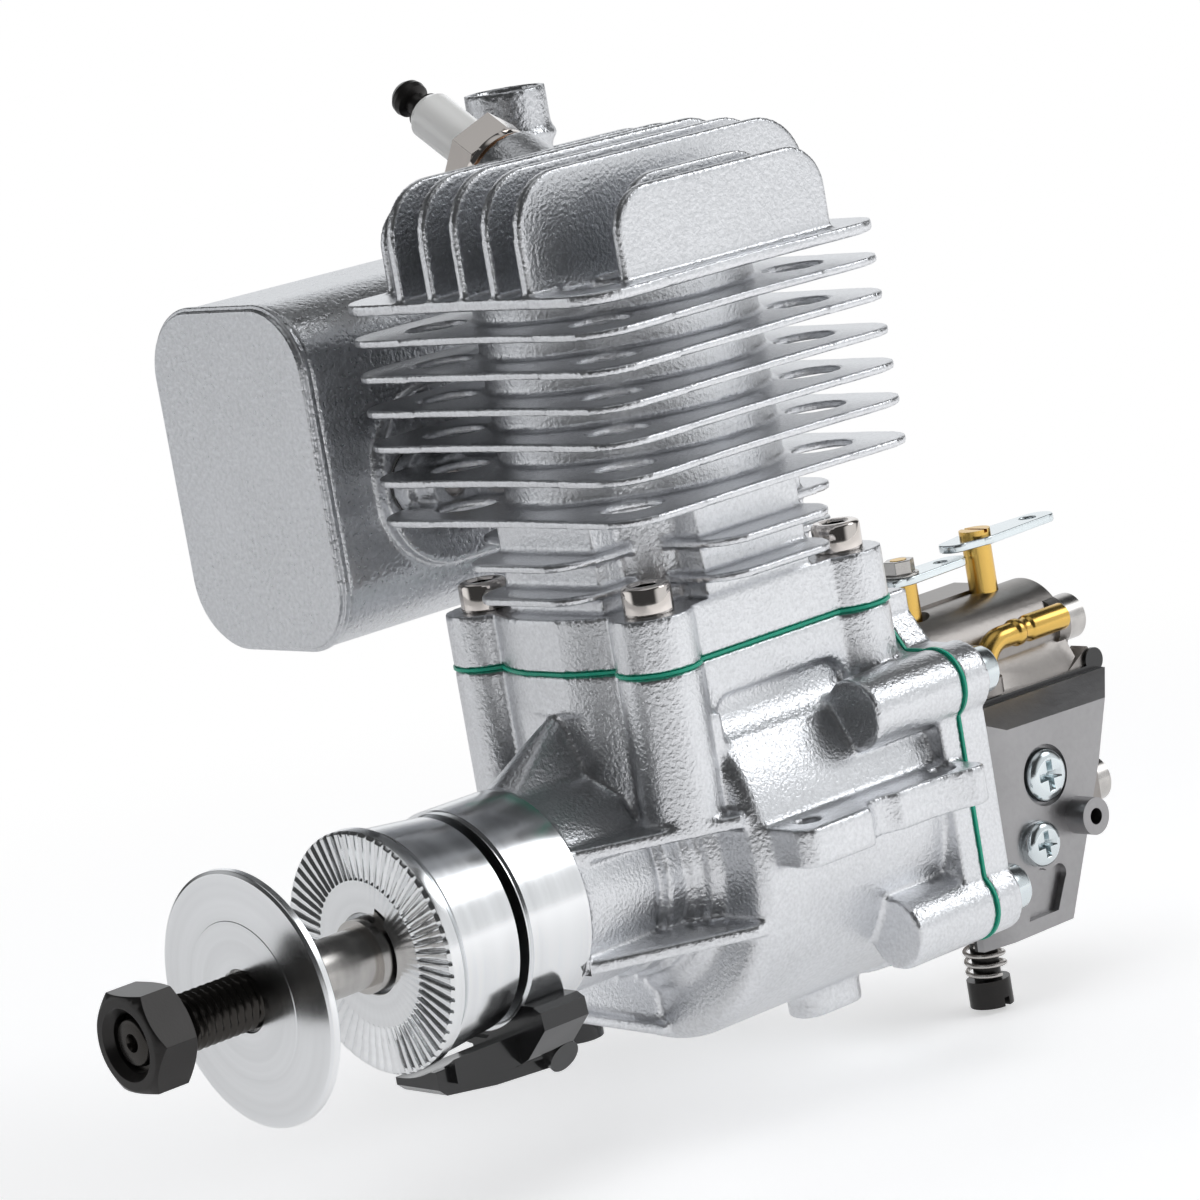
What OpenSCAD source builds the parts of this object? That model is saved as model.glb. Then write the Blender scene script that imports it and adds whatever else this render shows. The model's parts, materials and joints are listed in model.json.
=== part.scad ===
// Single-cylinder two-stroke engine for a model aircraft, about 26 cc
// Millimetres. Y runs along the crankshaft with the propeller at -Y, Z runs up the cylinder,
// X runs across. The origin is where the crankshaft axis and the cylinder axis cross.
// The piston stands at top dead centre.

/* [Cylinder] */
// Bore of the cylinder
bore_d = 34; // [32:0.5:35]
// Stroke of the piston
stroke = 28; // [26:0.5:29]
// Connecting rod between the centres of its eyes
rod_len = 56; // [55:0.5:58]
// Outside of the barrel between the fins
barrel_d = 48.4; // [47:0.2:50]
// Side of a square cooling fin
fin_w = 68.6; // [66:0.2:72]
// Corner radius of a cooling fin
fin_r = 8; // [6:0.5:10]
// Thickness of a cooling fin
fin_t = 1.4; // [1.2:0.1:2]
// Step from one cooling fin to the next
fin_pitch = 6.1; // [5.9:0.1:6.3]
// Full cooling fins under the head plate
fin_count = 6; // [4:1:6]
// Top of the head plate above the piston at top dead centre
head_rise = 13.1; // [12.5:0.1:15]
// Height of the upright fins on the head plate
head_fin_h = 20.6; // [18:0.2:22]
// Step between the upright fins
head_fin_pitch = 8.2; // [8:0.1:8.6]
// Thickness of an upright fin
head_fin_t = 1.9; // [1.6:0.1:2.4]
// Cylinder screws from the cylinder axis, across
screw_x = 21.1; // [20.5:0.1:22]
// Cylinder screws from the cylinder axis, fore and aft
screw_y = 22.4; // [21.5:0.1:22.8]
// Thickness of the cylinder's base flange
flange_t = 9.1; // [8:0.1:10]

/* [Crankcase] */
// Height of the joint with the cylinder above the crankshaft axis
deck_z = 34.9; // [34.5:0.1:36]
// Joint with the rear cover, behind the cylinder axis
rear_y = 30; // [29.6:0.1:32]
// Radius of the crank chamber
chamber_r = 27.5; // [26.8:0.1:28]
// Outside radius of the crankcase round the chamber
case_r = 33.4; // [32:0.1:34]
// Radius of the turned nose
nose_r = 19.1; // [18.5:0.1:19.4]
// Length of the turned nose
nose_len = 13.4; // [12:0.1:14]
// Front end of the turned nose, ahead of the cylinder axis
nose_y = 57.9; // [57:0.1:59]
// Top of the mounting lugs above the crankshaft axis
lug_z = 6; // [5:0.1:7]
// Thickness of a mounting lug
lug_t = 6.8; // [6:0.1:9]
// Mounting holes from the crankshaft axis
lug_x = 36.5; // [36:0.1:38]
// Mounting holes apart, along the crankshaft
lug_pitch = 32.5; // [30:0.5:34]
// Front pair of mounting holes ahead of the cylinder axis
lug_front = 9.2; // [8:0.1:10]
// Bore of a mounting hole
lug_hole_d = 4.5; // [3.5:0.1:5]
// Thickness of the gaskets
gasket_t = 0.5; // [0.4:0.1:0.8]
// How far a gasket stands out of its joint
gasket_proud = 0.2; // [0:0.05:0.3]
// Thickness of the rear cover
cover_t = 6; // [5:0.1:7]

/* [Crankshaft] */
// Main journal in the rear bearing
journal_d = 15; // [14:0.1:15.5]
// Shaft through the front bearing and the driver
shaft_d = 12; // [11.6:0.1:12.4]
// Pilot of the shaft that the propeller sits on
pilot_d = 10.3; // [9.8:0.1:10.8]
// Length of the pilot ahead of the driver
pilot_len = 24.4; // [22:0.1:27]
// Nose thread
stud_d = 9.8; // [9.4:0.1:10]
// Length of the nose thread
stud_len = 24.5; // [22:0.5:26]
// Radius of the crank web
web_r = 25.5; // [24.5:0.1:26]
// Thickness of the crank web
web_t = 8.6; // [7.5:0.1:9]
// Crankpin
crankpin_d = 10; // [9:0.1:10.5]

/* [Propeller driver] */
// Radius of the driver's rim
hub_r = 20.8; // [20:0.1:22]
// Length of the driver
hub_len = 16.8; // [15:0.1:18]
// Radial grooves in the driver's face
hub_teeth = 60; // [30:2:72]
// Gap between the turned nose and the driver
hub_gap = 1.8; // [1:0.1:2.4]
// Radius of the thrust washer
washer_r = 21.6; // [20:0.1:23]
// Thickness of the thrust washer
washer_t = 2.4; // [2:0.1:3]
// Propeller nut across its flats
nut_af = 16; // [15:0.5:17]
// Height of the propeller nut
nut_h = 8; // [7:0.5:9]

/* [Muffler] */
// Width of the muffler, away from the cylinder
muffler_w = 43; // [40:0.5:46]
// Height of the muffler
muffler_h = 61.6; // [58:0.2:64]
// Length of the muffler
muffler_len = 80; // [76:0.5:84]
// Corner radius of the muffler
muffler_r = 12.5; // [10:0.5:14]
// Sheet of the muffler
muffler_wall = 1.4; // [1.2:0.1:2]
// Outside radius of the outlet pipe
outlet_r = 7.5; // [6.5:0.1:8]

/* [Carburettor] */
// Bore of the venturi
venturi_d = 13; // [11:0.5:14]
// Length of the body
carb_len = 39; // [38:0.5:41]
// Distance between the throttle shaft and the choke shaft
shaft_pitch = 20.2; // [19.8:0.1:20.8]
// Shafts of throttle and choke, with their brass sleeves
post_d = 5.3; // [5:0.1:5.6]
// Mounting screws of the carburettor, above and below the venturi
carb_screw_z = 15.5; // [15:0.1:16]

/* [Fits] */
// Radial running clearance of a shaft in its hole
run_fit = 0.05; // [0.03:0.01:0.1]
// Radial clearance of a screw in its hole
screw_fit = 0.2; // [0.15:0.05:0.3]
// Working gap between the crankpin and the web
pin_gap = 0.4; // [0.3:0.1:0.6]

/* [Hidden] */
$fn = 48;
m5 = 5;
m5_head_r = 4.25;
m5_head_h = 5;
eps = 0.01;

// Heights along the cylinder
crown_h = 17;
skirt_h = 15;
tdc_z = stroke / 2 + rod_len + crown_h;
bdc_z = tdc_z - stroke;
pin_z = tdc_z - crown_h;
head_z = tdc_z + head_rise;
plate_t = 2;
flange_z = deck_z + gasket_t;
flange_top = flange_z + flange_t;
small_fin_z = [for (i = [0, 1]) flange_top + 3 + 6 * i];
key_hole_r = 5.28;
lobe_r = 7.2;

// Places along the crankshaft
web_y = 5.9;
rear_brg = [7.5, 16, 9];
front_brg = [6, 14, 8];
brg_y = web_y + web_t + 1;
hub_y = nose_y + hub_gap;
hub_face = hub_y + hub_len;
pilot_y = hub_face + pilot_len;
stud_y = pilot_y + stud_len;
washer_y = pilot_y + 2;
nut_y = stud_y + 1.2;
front_wall = 18;
neck_y = nose_y - nose_len;

// Spark plug: its seat, lean from upright and sizes
plug_seat = [-22.6, 0, head_z + 16.2];
plug_lean = 57;
plug_r = 5;
plug_reach = 19;

// Exhaust
port_z = bdc_z + 7;
port_w = 22;
port_h = 12;
exhaust_x = 37.5;
muffler_x = exhaust_x + gasket_t + 3;
muffler_mid = muffler_x + muffler_w / 2;
muffler_z = port_z + 4.4;
muffler_front = 35.5;
exhaust_lug_y = 19;
outlet_y = muffler_len - muffler_front - 10;
outlet_x = 2.5 - muffler_mid;
outlet_bead_z = muffler_z + muffler_h / 2 + 17.1;
outlet_lip = 8.9;
outlet_wall = 1.3;

// Intake
reed_w = 24;
reed_h = 26;
cover_y = rear_y + gasket_t;
reed_y = cover_y + cover_t;
reed_t = 3;
insul_t = 7.5;
carb_y = reed_y + reed_t + insul_t;
throttle_y = carb_y + 9.2;
choke_y = throttle_y + shaft_pitch;
carb_top = 23.6;
carb_side = 13;
carb_screw_x = 6.5;

// A rectangle with true round corners
module round_rect(x, y, r) {
    square([x - 2 * r, y], center = true);
    square([x, y - 2 * r], center = true);
    for (i = [-1, 1], j = [-1, 1]) translate([i * (x / 2 - r), j * (y / 2 - r)]) circle(r);
}

// Stands a shape that was drawn along Z on the Y axis, from y towards the rear
module along_y(y = 0) translate([0, y, 0]) rotate([-90, 0, 0]) children();

// Stands an X-Z outline up, from y towards the rear
module outline_xz(y, t) translate([0, y, 0]) mirror([0, 1, 0]) rotate([90, 0, 0]) linear_extrude(t)
    children();

// Stands a Y-Z outline up, from x towards +X
module outline_yz(x, t) translate([x, 0, 0]) rotate([90, 0, 90]) linear_extrude(t) children();

// A tube or, with no inner radius, a rod on the Y axis
module ring_y(y, t, r, inner = 0) along_y(y) difference() {
    cylinder(r = r, h = t);
    if (inner > 0) translate([0, 0, -1]) cylinder(r = inner, h = t + 2);
}

// Socket head screw, drawn pointing down from its seat at the origin
module socket_screw(d, len, head_r, head_h) difference() {
    union() {
        translate([0, 0, -len]) cylinder(d = d, h = len + eps);
        cylinder(r = head_r, h = head_h - 0.4);
        translate([0, 0, head_h - 0.4 - eps]) cylinder(r1 = head_r, r2 = head_r - 0.4, h = 0.4 + eps);
    }
    translate([0, 0, head_h * 0.4]) cylinder(r = head_r * 0.54, h = head_h, $fn = 6);
}

// Cross head screw with a domed head, drawn pointing down from its seat at the origin
module pan_screw(d, len, head_r, head_h) difference() {
    union() {
        translate([0, 0, -len]) cylinder(d = d, h = len + eps);
        intersection() {
            cylinder(r = head_r, h = head_h);
            translate([0, 0, head_h - head_r * 1.6]) sphere(r = head_r * 1.6);
        }
    }
    for (a = [0, 90]) rotate(a) translate([-head_r * 0.5, -head_r * 0.1, head_h * 0.45])
        cube([head_r, head_r * 0.2, head_h]);
}

module at_cylinder_screws() for (i = [-1, 1], j = [-1, 1]) translate([i * screw_x, j * screw_y, 0])
    children();

module at_cover_screws() for (s = [-1, 1], p = cover_bosses) translate([s * p[0], 0, p[1]]) children();

// Screw bosses of the rear joint: across, up
cover_bosses = [[32, 18.9], [31.4, -20.4]];
boss_r = 6.4;

// Outline shared by the cylinder flange, its gasket and the top of the crankcase
module flange_outline(grow = 0) {
    side = 25.2 + grow;
    end = 29.6 + grow;
    intersection() {
        circle(r = end + 0.4);
        square([38, 2 * end], center = true);
    }
    square([2 * side, 2 * screw_y], center = true);
    at_cylinder_screws() circle(r = lobe_r + grow);
}

// Outline shared by the rear of the crankcase, its gasket and the rear cover
module rear_outline(grow = 0) {
    w = 35.6 + grow;
    circle(r = case_r + 1 + grow);
    translate([-w, -16]) square([2 * w, 30]);
    for (s = [-1, 1], p = cover_bosses) translate([s * p[0], p[1]]) circle(r = boss_r + grow);
    translate([-cover_bosses[0][0], 0])
        square([2 * cover_bosses[0][0], cover_bosses[0][1] + boss_r - 0.4 + grow]);
    polygon([[-25.5, 20], [25.5, 20], [25.5, 24.9], [21.5 + grow, 30.3], [21.5 + grow, deck_z - 0.5],
        [-21.5 - grow, deck_z - 0.5], [-21.5 - grow, 30.3], [-25.5, 24.9]]);
}

module mounting_lug() difference() {
    // The lug reaches from inside the wall to just outside the holes
    front = -lug_front - 6.3;
    back = -lug_front + lug_pitch + 5.6;
    outer = lug_x + 6.4;
    translate([0, 0, lug_z - lug_t]) linear_extrude(lug_t) difference() {
        union() {
            translate([24, front]) square([outer - 24 - 3, back - front]);
            translate([24, front + 3]) square([outer - 24, back - front - 6]);
            for (y = [front + 3, back - 3]) translate([outer - 3, y]) circle(r = 3);
        }
        // Waist between the two holes: tight in front, long behind
        translate([outer + 1.6, -lug_front + 14.4]) circle(r = 5.6);
        translate([outer + 27.3, -lug_front + 22]) circle(r = 30);
    }
    for (k = [0, 1]) translate([lug_x, -lug_front + k * lug_pitch, lug_z - lug_t - 1])
        cylinder(d = lug_hole_d, h = lug_t + 2);
}

// Side flange of the crankcase nose, from the turned nose back to the crank chamber
web_plate_t = 2.4;
module nose_web(z, w_front, w_rear) translate([0, 0, z]) linear_extrude(web_plate_t)
    polygon([[0, -neck_y], [w_front, -neck_y], [w_rear, -front_wall - 1], [w_rear, -front_wall + 6],
        [0, -front_wall + 6]]);

// Rib from the cylinder seat down to the turned nose: narrow on top, wide where it stands on the neck
rib_top = 28.2;
rib_w = 1.6;
rib_foot_w = 10.4;
module nose_rib() hull() {
    translate([-rib_w / 2, -neck_y, neck_r - 4]) cube([rib_w, 1, nose_r - neck_r + 4]);
    translate([-rib_w / 2, -29.4, neck_r - 2]) cube([rib_w, 1, rib_top - neck_r + 2]);
    translate([-rib_foot_w / 2 + 0.6, -neck_y, neck_r - 4]) cube([rib_foot_w - 1.2, 1, 3.4]);
    translate([-rib_foot_w / 2, -29.4, neck_r - 4]) cube([rib_foot_w, 1, 3.8]);
}

module crankcase_solid() {
    // Round chamber with a rounded front edge, seat of the cylinder and rear joint
    along_y(-front_wall) rotate_extrude() {
        translate([0, case_edge]) square([case_r, front_wall + rear_y - case_edge]);
        square([case_r - case_edge, 2 * case_edge]);
        translate([case_r - case_edge, case_edge]) circle(r = case_edge);
    }
    cylinder_seat();
    outline_xz(rear_y - rear_flange_t, rear_flange_t) rear_outline();
    for (s = [-1, 1]) {
        translate([s * cover_bosses[0][0], 0, cover_bosses[0][1]]) ring_y(9, rear_y - 9, boss_r);
        translate([s * cover_bosses[1][0], 0, cover_bosses[1][1]]) ring_y(11, rear_y - 11, boss_r);
        mirror([s < 0 ? 1 : 0, 0, 0]) {
            mounting_lug();
            nose_web(lug_z + 0.8, 16.4, 31);
            nose_web(-12.2, 16.6, 31);
        }
    }
    // Stepped neck and turned nose
    ring_y(-neck_y, neck_y - front_wall + 1, neck_r - 1);
    ring_y(-neck_y, neck_y - 28.2, neck_r);
    ring_y(-26.6, 9, neck_r + 0.9);
    ring_y(-22, 5, 20.4);
    along_y(-20) rotate_extrude() polygon([[16, 0], [22, 0], [23.4, 1.4], [23.4, 4], [16, 4]]);
    ring_y(-nose_y + 0.6, nose_len - 0.6, nose_r);
    ring_y(-nose_y, 1, nose_r - 0.5);
    nose_rib();
    // Keel under the neck, with its thick lower edge
    outline_yz(-keel_t / 2, keel_t) polygon([[-neck_y, -12], [-neck_y, -19.6], [-17, -31.6], [-14, -12]]);
    outline_yz(-keel_foot_w / 2, keel_foot_w) polygon([[-neck_y, -18.6], [-neck_y, -20.6], [-17, -32.6],
        [-13, -32.6], [-13, -30.4], [-17, -30.4]]);
    // Round corner between the chamber and the walls under the cylinder, and the rib at its front end
    for (s = [-1, 1]) mirror([s < 0 ? 1 : 0, 0, 0]) {
        translate([0, -16, 0]) rotate([-90, 0, 0]) mirror([0, 1, 0]) linear_extrude(29) panel_fillet();
        translate([20, -17.4, lug_z]) cube([7.2, 1.8, 20]);
    }
    // Foot under the chamber
    translate([5, 16.5, -case_r - 4]) linear_extrude(12) round_rect(8, 15, 3.9);
}

case_edge = 3;
neck_r = 18.2;
keel_t = 2.4;
keel_foot_w = 5;
rear_flange_t = 4.6;

// Upright walls under the cylinder's flange, with a shallow panel in each side
panel_top = 28;
panel_depth = 1.6;
panel_fillet_r = 8;
module panel_fillet() difference() {
    reach = 25.2 - panel_depth + panel_fillet_r;
    up = sqrt(pow(case_r + panel_fillet_r, 2) - reach * reach);
    translate([18, 16]) square([9, up - 16]);
    translate([reach, up]) circle(r = panel_fillet_r);
}
module cylinder_seat() difference() {
    translate([0, 0, lug_z + 1]) linear_extrude(deck_z - lug_z - 1) intersection() {
        flange_outline();
        translate([-40, -40]) square([80, 40 + rear_y]);
    }
    // Shallow pocket in the front wall beside the rib
    translate([-11, -32, neck_r - 4]) cube([22, 3.2, rib_top - neck_r + 4]);
    for (s = [-1, 1]) outline_yz(s < 0 ? -30 : 25.2 - panel_depth, 30 - 25.2 + panel_depth)
        translate([0, panel_top - 20]) round_rect(30, 40, 4);
}

module crankcase() color("silver") difference() {
    crankcase_solid();
    // Crank chamber and the opening under the cylinder
    ring_y(-brg_y + 0.6, brg_y + rear_y, chamber_r);
    cylinder(r = spigot_r + run_fit, h = deck_z + 1);
    // Transfer passages beside the cylinder's spigot
    for (s = [-1, 1]) translate([s * 17, -transfer_w / 2, 6]) mirror([s < 0 ? 1 : 0, 0, 0])
        cube([transfer_x - 17, transfer_w, deck_z]);
    // Bearing seats, seal seat and shaft tunnel
    ring_y(-brg_y - rear_brg[2], rear_brg[2] + 5, rear_brg[1]);
    ring_y(-nose_y - 1, 1 + 1.4 + front_brg[2], front_brg[1]);
    ring_y(-seal_y - seal[2], seal[2] + 1, seal[1]);
    ring_y(-nose_y - 1, nose_y, journal_d / 2 + 1);
    // Everything ends at the milled deck under the cylinder
    translate([-60, -60, deck_z]) cube([120, 120, 40]);
    // Threaded holes for the cylinder and for the rear cover
    at_cylinder_screws() translate([0, 0, deck_z - 13]) cylinder(d = m5, h = 14);
    at_cover_screws() ring_y(rear_y - 13, 14, m5 / 2);
}

// Shaft seal: inner radius, outer radius, width
seal = [shaft_d / 2 + run_fit, 11, 5];
seal_y = 41;

module shaft_seal() color("dimgray") difference() {
    ring_y(-seal_y - seal[2], seal[2], seal[1], seal[0]);
    ring_y(-seal_y - 2.6, 3, seal[1] - 1.5, seal[0] + 1.2);
}

// Ball bearings are given as inner radius, outer radius and width
function ball_r(b) = (b[1] - b[0]) * 0.26;
function ball_track(b) = (b[0] + b[1]) / 2;

module bearing_outer(b, y) difference() {
    ring_y(-y - b[2], b[2], b[1], ball_track(b) + ball_r(b) * 0.72);
    translate([0, -y - b[2] / 2, 0]) rotate([90, 0, 0]) ball_groove(b);
}

module bearing_inner(b, y) difference() {
    ring_y(-y - b[2], b[2], ball_track(b) - ball_r(b) * 0.72, b[0]);
    translate([0, -y - b[2] / 2, 0]) rotate([90, 0, 0]) ball_groove(b);
}

module ball_groove(b) rotate_extrude() translate([ball_track(b), 0]) circle(r = ball_r(b) + run_fit);

module bearing_balls(b, y, n) for (i = [0:n - 1]) rotate([0, i * 360 / n, 0])
    translate([0, -y - b[2] / 2, ball_track(b)]) sphere(r = ball_r(b));

front_brg_y = nose_y - 0.4 - front_brg[2];
module front_bearing_outer() color("lightgray") bearing_outer(front_brg, front_brg_y);
module front_bearing_inner() color("lightgray") bearing_inner(front_brg, front_brg_y);
module front_bearing_balls() color("white") bearing_balls(front_brg, front_brg_y, 8);
module rear_bearing_outer() color("lightgray") bearing_outer(rear_brg, brg_y);
module rear_bearing_inner() color("lightgray") bearing_inner(rear_brg, brg_y);
module rear_bearing_balls() color("white") bearing_balls(rear_brg, brg_y, 9);

// Cylinder spigot and transfer passages
spigot_r = bore_d / 2 + 2.3;
spigot_len = 8;
transfer_x = 22.6;
transfer_w = 15;

module base_gasket() color("seagreen") difference() {
    translate([0, 0, deck_z]) linear_extrude(gasket_t) flange_outline(gasket_proud);
    translate([0, 0, deck_z - 1]) cylinder(r = spigot_r + run_fit, h = 4);
    for (s = [-1, 1]) translate([s * 20, 0, deck_z])
        cube([2 * (transfer_x - 20), transfer_w, 4], center = true);
    at_cylinder_screws() translate([0, 0, deck_z - 1]) cylinder(d = m5 + 2 * screw_fit, h = 4);
}

// Square fin with slightly hollow sides and holes for the screw key
module cooling_fin(z, t, w = fin_w) translate([0, 0, z - t]) linear_extrude(t) difference() {
    round_rect(w, w, fin_r);
    for (k = [0:3]) rotate(k * 90) translate([w / 2 + 299.2, 0]) circle(r = 300, $fn = 360);
}

// Short fin below the full ones, on one side of the barrel
module small_fin(z, reach) translate([0, 0, z - fin_t]) linear_extrude(fin_t) intersection() {
    translate([reach / 2, 0]) round_rect(reach, 28, 7);
    circle(r = reach + 1.4);
}

// Upright fin on the head plate: place across, length, height
module head_fin(x, len, h) outline_yz(x - head_fin_t / 2, head_fin_t) intersection() {
    r = min(h * 0.52, len * 0.3);
    translate([0, head_z + h / 2 - r / 2]) round_rect(len, h + r, r);
    translate([-len, head_z - 1]) square([2 * len, h + 2]);
}

// Along the spark plug's axis, outwards from its seat
module along_plug() translate(plug_seat) rotate([0, -plug_lean, 0]) children();

module exhaust_outline(grow = 0) {
    translate([0, port_z]) round_rect(30 + 2 * grow, 17 + 2 * grow, 5);
    for (s = [-1, 1]) translate([s * exhaust_lug_y, port_z]) circle(r = 6.2 + grow);
    translate([0, port_z]) square([2 * exhaust_lug_y, 9], center = true);
}

module cylinder_solid() {
    translate([0, 0, flange_z]) linear_extrude(flange_t) flange_outline();
    translate([0, 0, flange_z - spigot_len]) cylinder(r = spigot_r, h = spigot_len + 1);
    // Barrel, waisted above the flange, with the bulges of the passages
    translate([0, 0, flange_top - 1]) cylinder(d = barrel_d - 4, h = head_z - flange_top);
    translate([0, 0, fin_bottom]) cylinder(d = barrel_d, h = head_z - fin_bottom);
    for (k = [0:3]) rotate(k * 90) translate([0, -12, flange_top - 1])
        cube([barrel_d / 2 + 0.4, 24, fin_bottom - flange_top + 2]);
    // Fins
    difference() {
        union() {
            for (i = [1:fin_count]) cooling_fin(head_z - i * fin_pitch - (i == fin_count ? last_gap : 0),
                fin_t);
            cooling_fin(head_z, plate_t);
            for (k = [0:3], i = [0, 1]) rotate(k * 90) small_fin(small_fin_z[i] + fin_t, 32.4 + i);
        }
        at_cylinder_screws() translate([0, 0, flange_top + 1]) cylinder(r = key_hole_r, h = head_z);
    }
    for (i = [-2:2]) head_fin(i * head_fin_pitch, 66, head_fin_h - abs(i) * 0.5);
    for (s = [-1, 1]) {
        head_fin(s * 3 * head_fin_pitch, 34, head_fin_h - 4.4);
        head_fin(s * 30, 47.6, head_fin_h - 5.4);
    }
    // Crown over the combustion chamber and the seat of the plug
    translate([0, 0, head_z - 1]) cylinder(r1 = 20, r2 = 13, h = 9);
    along_plug() translate([0, 0, -plug_reach - 2]) cylinder(r = 8.6, h = plug_reach + 2);
    // Exhaust duct and its flange
    translate([-34, -port_w / 2 - 3, port_z - port_h / 2 - 2.5]) cube([20, port_w + 6, port_h + 5]);
    outline_yz(-exhaust_x, 4.2) exhaust_outline();
    for (s = [-1, 1]) translate([-exhaust_x, s * exhaust_lug_y, port_z]) rotate([0, 90, 0])
        cylinder(r = 5.2, h = exhaust_lug_len);
}

// Bosses of the muffler screws end just outside the holes for the screw key
exhaust_lug_len = 10;

last_gap = 0.75;
fin_bottom = head_z - fin_count * fin_pitch - last_gap - fin_t;
port_top = bdc_z + 12.5;

module cylinder_casting() color("silver") difference() {
    cylinder_solid();
    translate([0, 0, flange_z - spigot_len - 1])
        cylinder(d = bore_d, h = tdc_z + 0.8 - flange_z + spigot_len + 1);
    // Combustion chamber
    translate([0, 0, tdc_z - 1.4]) sphere(r = 14.2);
    // Plug thread and the room round its hexagon
    along_plug() translate([0, 0, -plug_reach - 12]) cylinder(r = plug_r, h = plug_reach + 13);
    along_plug() cylinder(r = 11.5, h = 40);
    // Exhaust port and transfer ports
    translate([-exhaust_x - 1, -port_w / 2, port_top - port_h])
        cube([exhaust_x + 1 - bore_d / 2 + 4, port_w, port_h]);
    for (s = [-1, 1]) mirror([s < 0 ? 1 : 0, 0, 0]) {
        translate([spigot_r - 1, -transfer_w / 2, flange_z - spigot_len - 1])
            cube([transfer_x - spigot_r + 1, transfer_w,
            (s > 0 ? port_top - 3 : flange_top + 4) - flange_z + spigot_len + 1]);
        if (s > 0) translate([bore_d / 2 - 3, -transfer_w / 2, port_top - 10])
            cube([transfer_x - bore_d / 2 + 3, transfer_w, 7]);
    }
    for (s = [-1, 1]) rotate(s * 90) {
        translate([spigot_r - 1, -4, flange_z - spigot_len - 1])
            cube([2.6, 8, port_top - 3 - flange_z + spigot_len + 1]);
        translate([bore_d / 2 - 3, -4, port_top - 10]) cube([spigot_r + 4.6 - bore_d / 2, 8, 7]);
    }
    // Screws of the base and of the muffler
    at_cylinder_screws() translate([0, 0, flange_z - 1]) cylinder(d = m5 + 2 * screw_fit, h = flange_t + 2);
    for (s = [-1, 1]) translate([-exhaust_x - 1, s * exhaust_lug_y, port_z]) rotate([0, 90, 0])
        cylinder(d = m5, h = exhaust_lug_len + 1);
}
module cylinder_screws() color("gray") at_cylinder_screws() translate([0, 0, flange_top])
    socket_screw(m5, flange_t + gasket_t + 11, m5_head_r, m5_head_h);

module spark_plug_shell() color("wheat") along_plug() difference() {
    union() {
        translate([0, 0, -plug_reach]) cylinder(r = plug_r, h = plug_reach + 2);
        translate([0, 0, 1.3]) cylinder(r = 7.4, h = 1.2);
        translate([0, 0, 2.4]) cylinder(r = 7 / cos(30), h = 5.2, $fn = 6);
        translate([0, 0, 7.5]) cylinder(r = 5.6, h = 1.2);
    }
    translate([0, 0, -plug_reach - 1]) cylinder(r = 3, h = plug_reach + 12);
    translate([0, 0, 4]) cylinder(r = 4.4, h = 12);
}

module plug_washer() color("goldenrod") along_plug() difference() {
    cylinder(r = 6.9, h = 1.3);
    translate([0, 0, -1]) cylinder(r = plug_r, h = 4);
}

module plug_insulator() color("white") along_plug() {
    translate([0, 0, -plug_reach + 2]) cylinder(r = 2.2, h = plug_reach);
    translate([0, 0, -8]) cylinder(r = 3, h = 12.2);
    translate([0, 0, 4]) cylinder(r = 4.4, h = 16.6);
    translate([0, 0, 20.5]) cylinder(r1 = 4.4, r2 = 3.6, h = 1.3);
    translate([0, 0, -plug_reach - 0.6]) cylinder(r = 1.1, h = 3);
}

module plug_terminal() color("dimgray") along_plug() translate([0, 0, 21.8]) rotate_extrude() polygon([
    [0, 0], [3.4, 0], [3.4, 0.6], [2, 1.2], [2, 3.2], [3.2, 3.8], [3.4, 4.8], [3.2, 5.8], [2.4, 6.8], [0,
        7]]);

module rear_gasket() color("seagreen") difference() {
    outline_xz(rear_y, gasket_t) rear_outline(gasket_proud);
    ring_y(rear_y - 1, 4, chamber_r - 0.5);
    at_cover_screws() ring_y(rear_y - 1, 4, m5 / 2 + screw_fit);
}

module rear_cover() color("silver") difference() {
    union() {
        outline_xz(cover_y, cover_t) rear_outline();
        ring_y(rear_y - 4, 5, chamber_r - 0.6, chamber_r - 4);
        translate([0, reed_y - 1, 0]) rotate([-90, 0, 0]) linear_extrude(1.6) round_rect(34, 42, 4);
    }
    translate([-reed_w / 2 - run_fit, cover_y - 5, -reed_h / 2 - run_fit])
        cube([reed_w + 2 * run_fit, cover_t + 10, reed_h + 2 * run_fit]);
    at_cover_screws() ring_y(cover_y - 1, cover_t + 2, m5 / 2 + screw_fit);
    for (s = [-1, 1]) translate([carb_screw_x, 0, s * carb_screw_z])
        ring_y(cover_y + 0.6, cover_t + 2, m5 / 2);
}

module rear_cover_screws() color("lightgray") at_cover_screws() along_y(reed_y) socket_screw_y();
module socket_screw_y() socket_screw(m5, cover_t + gasket_t + 9, m5_head_r, m5_head_h);

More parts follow.
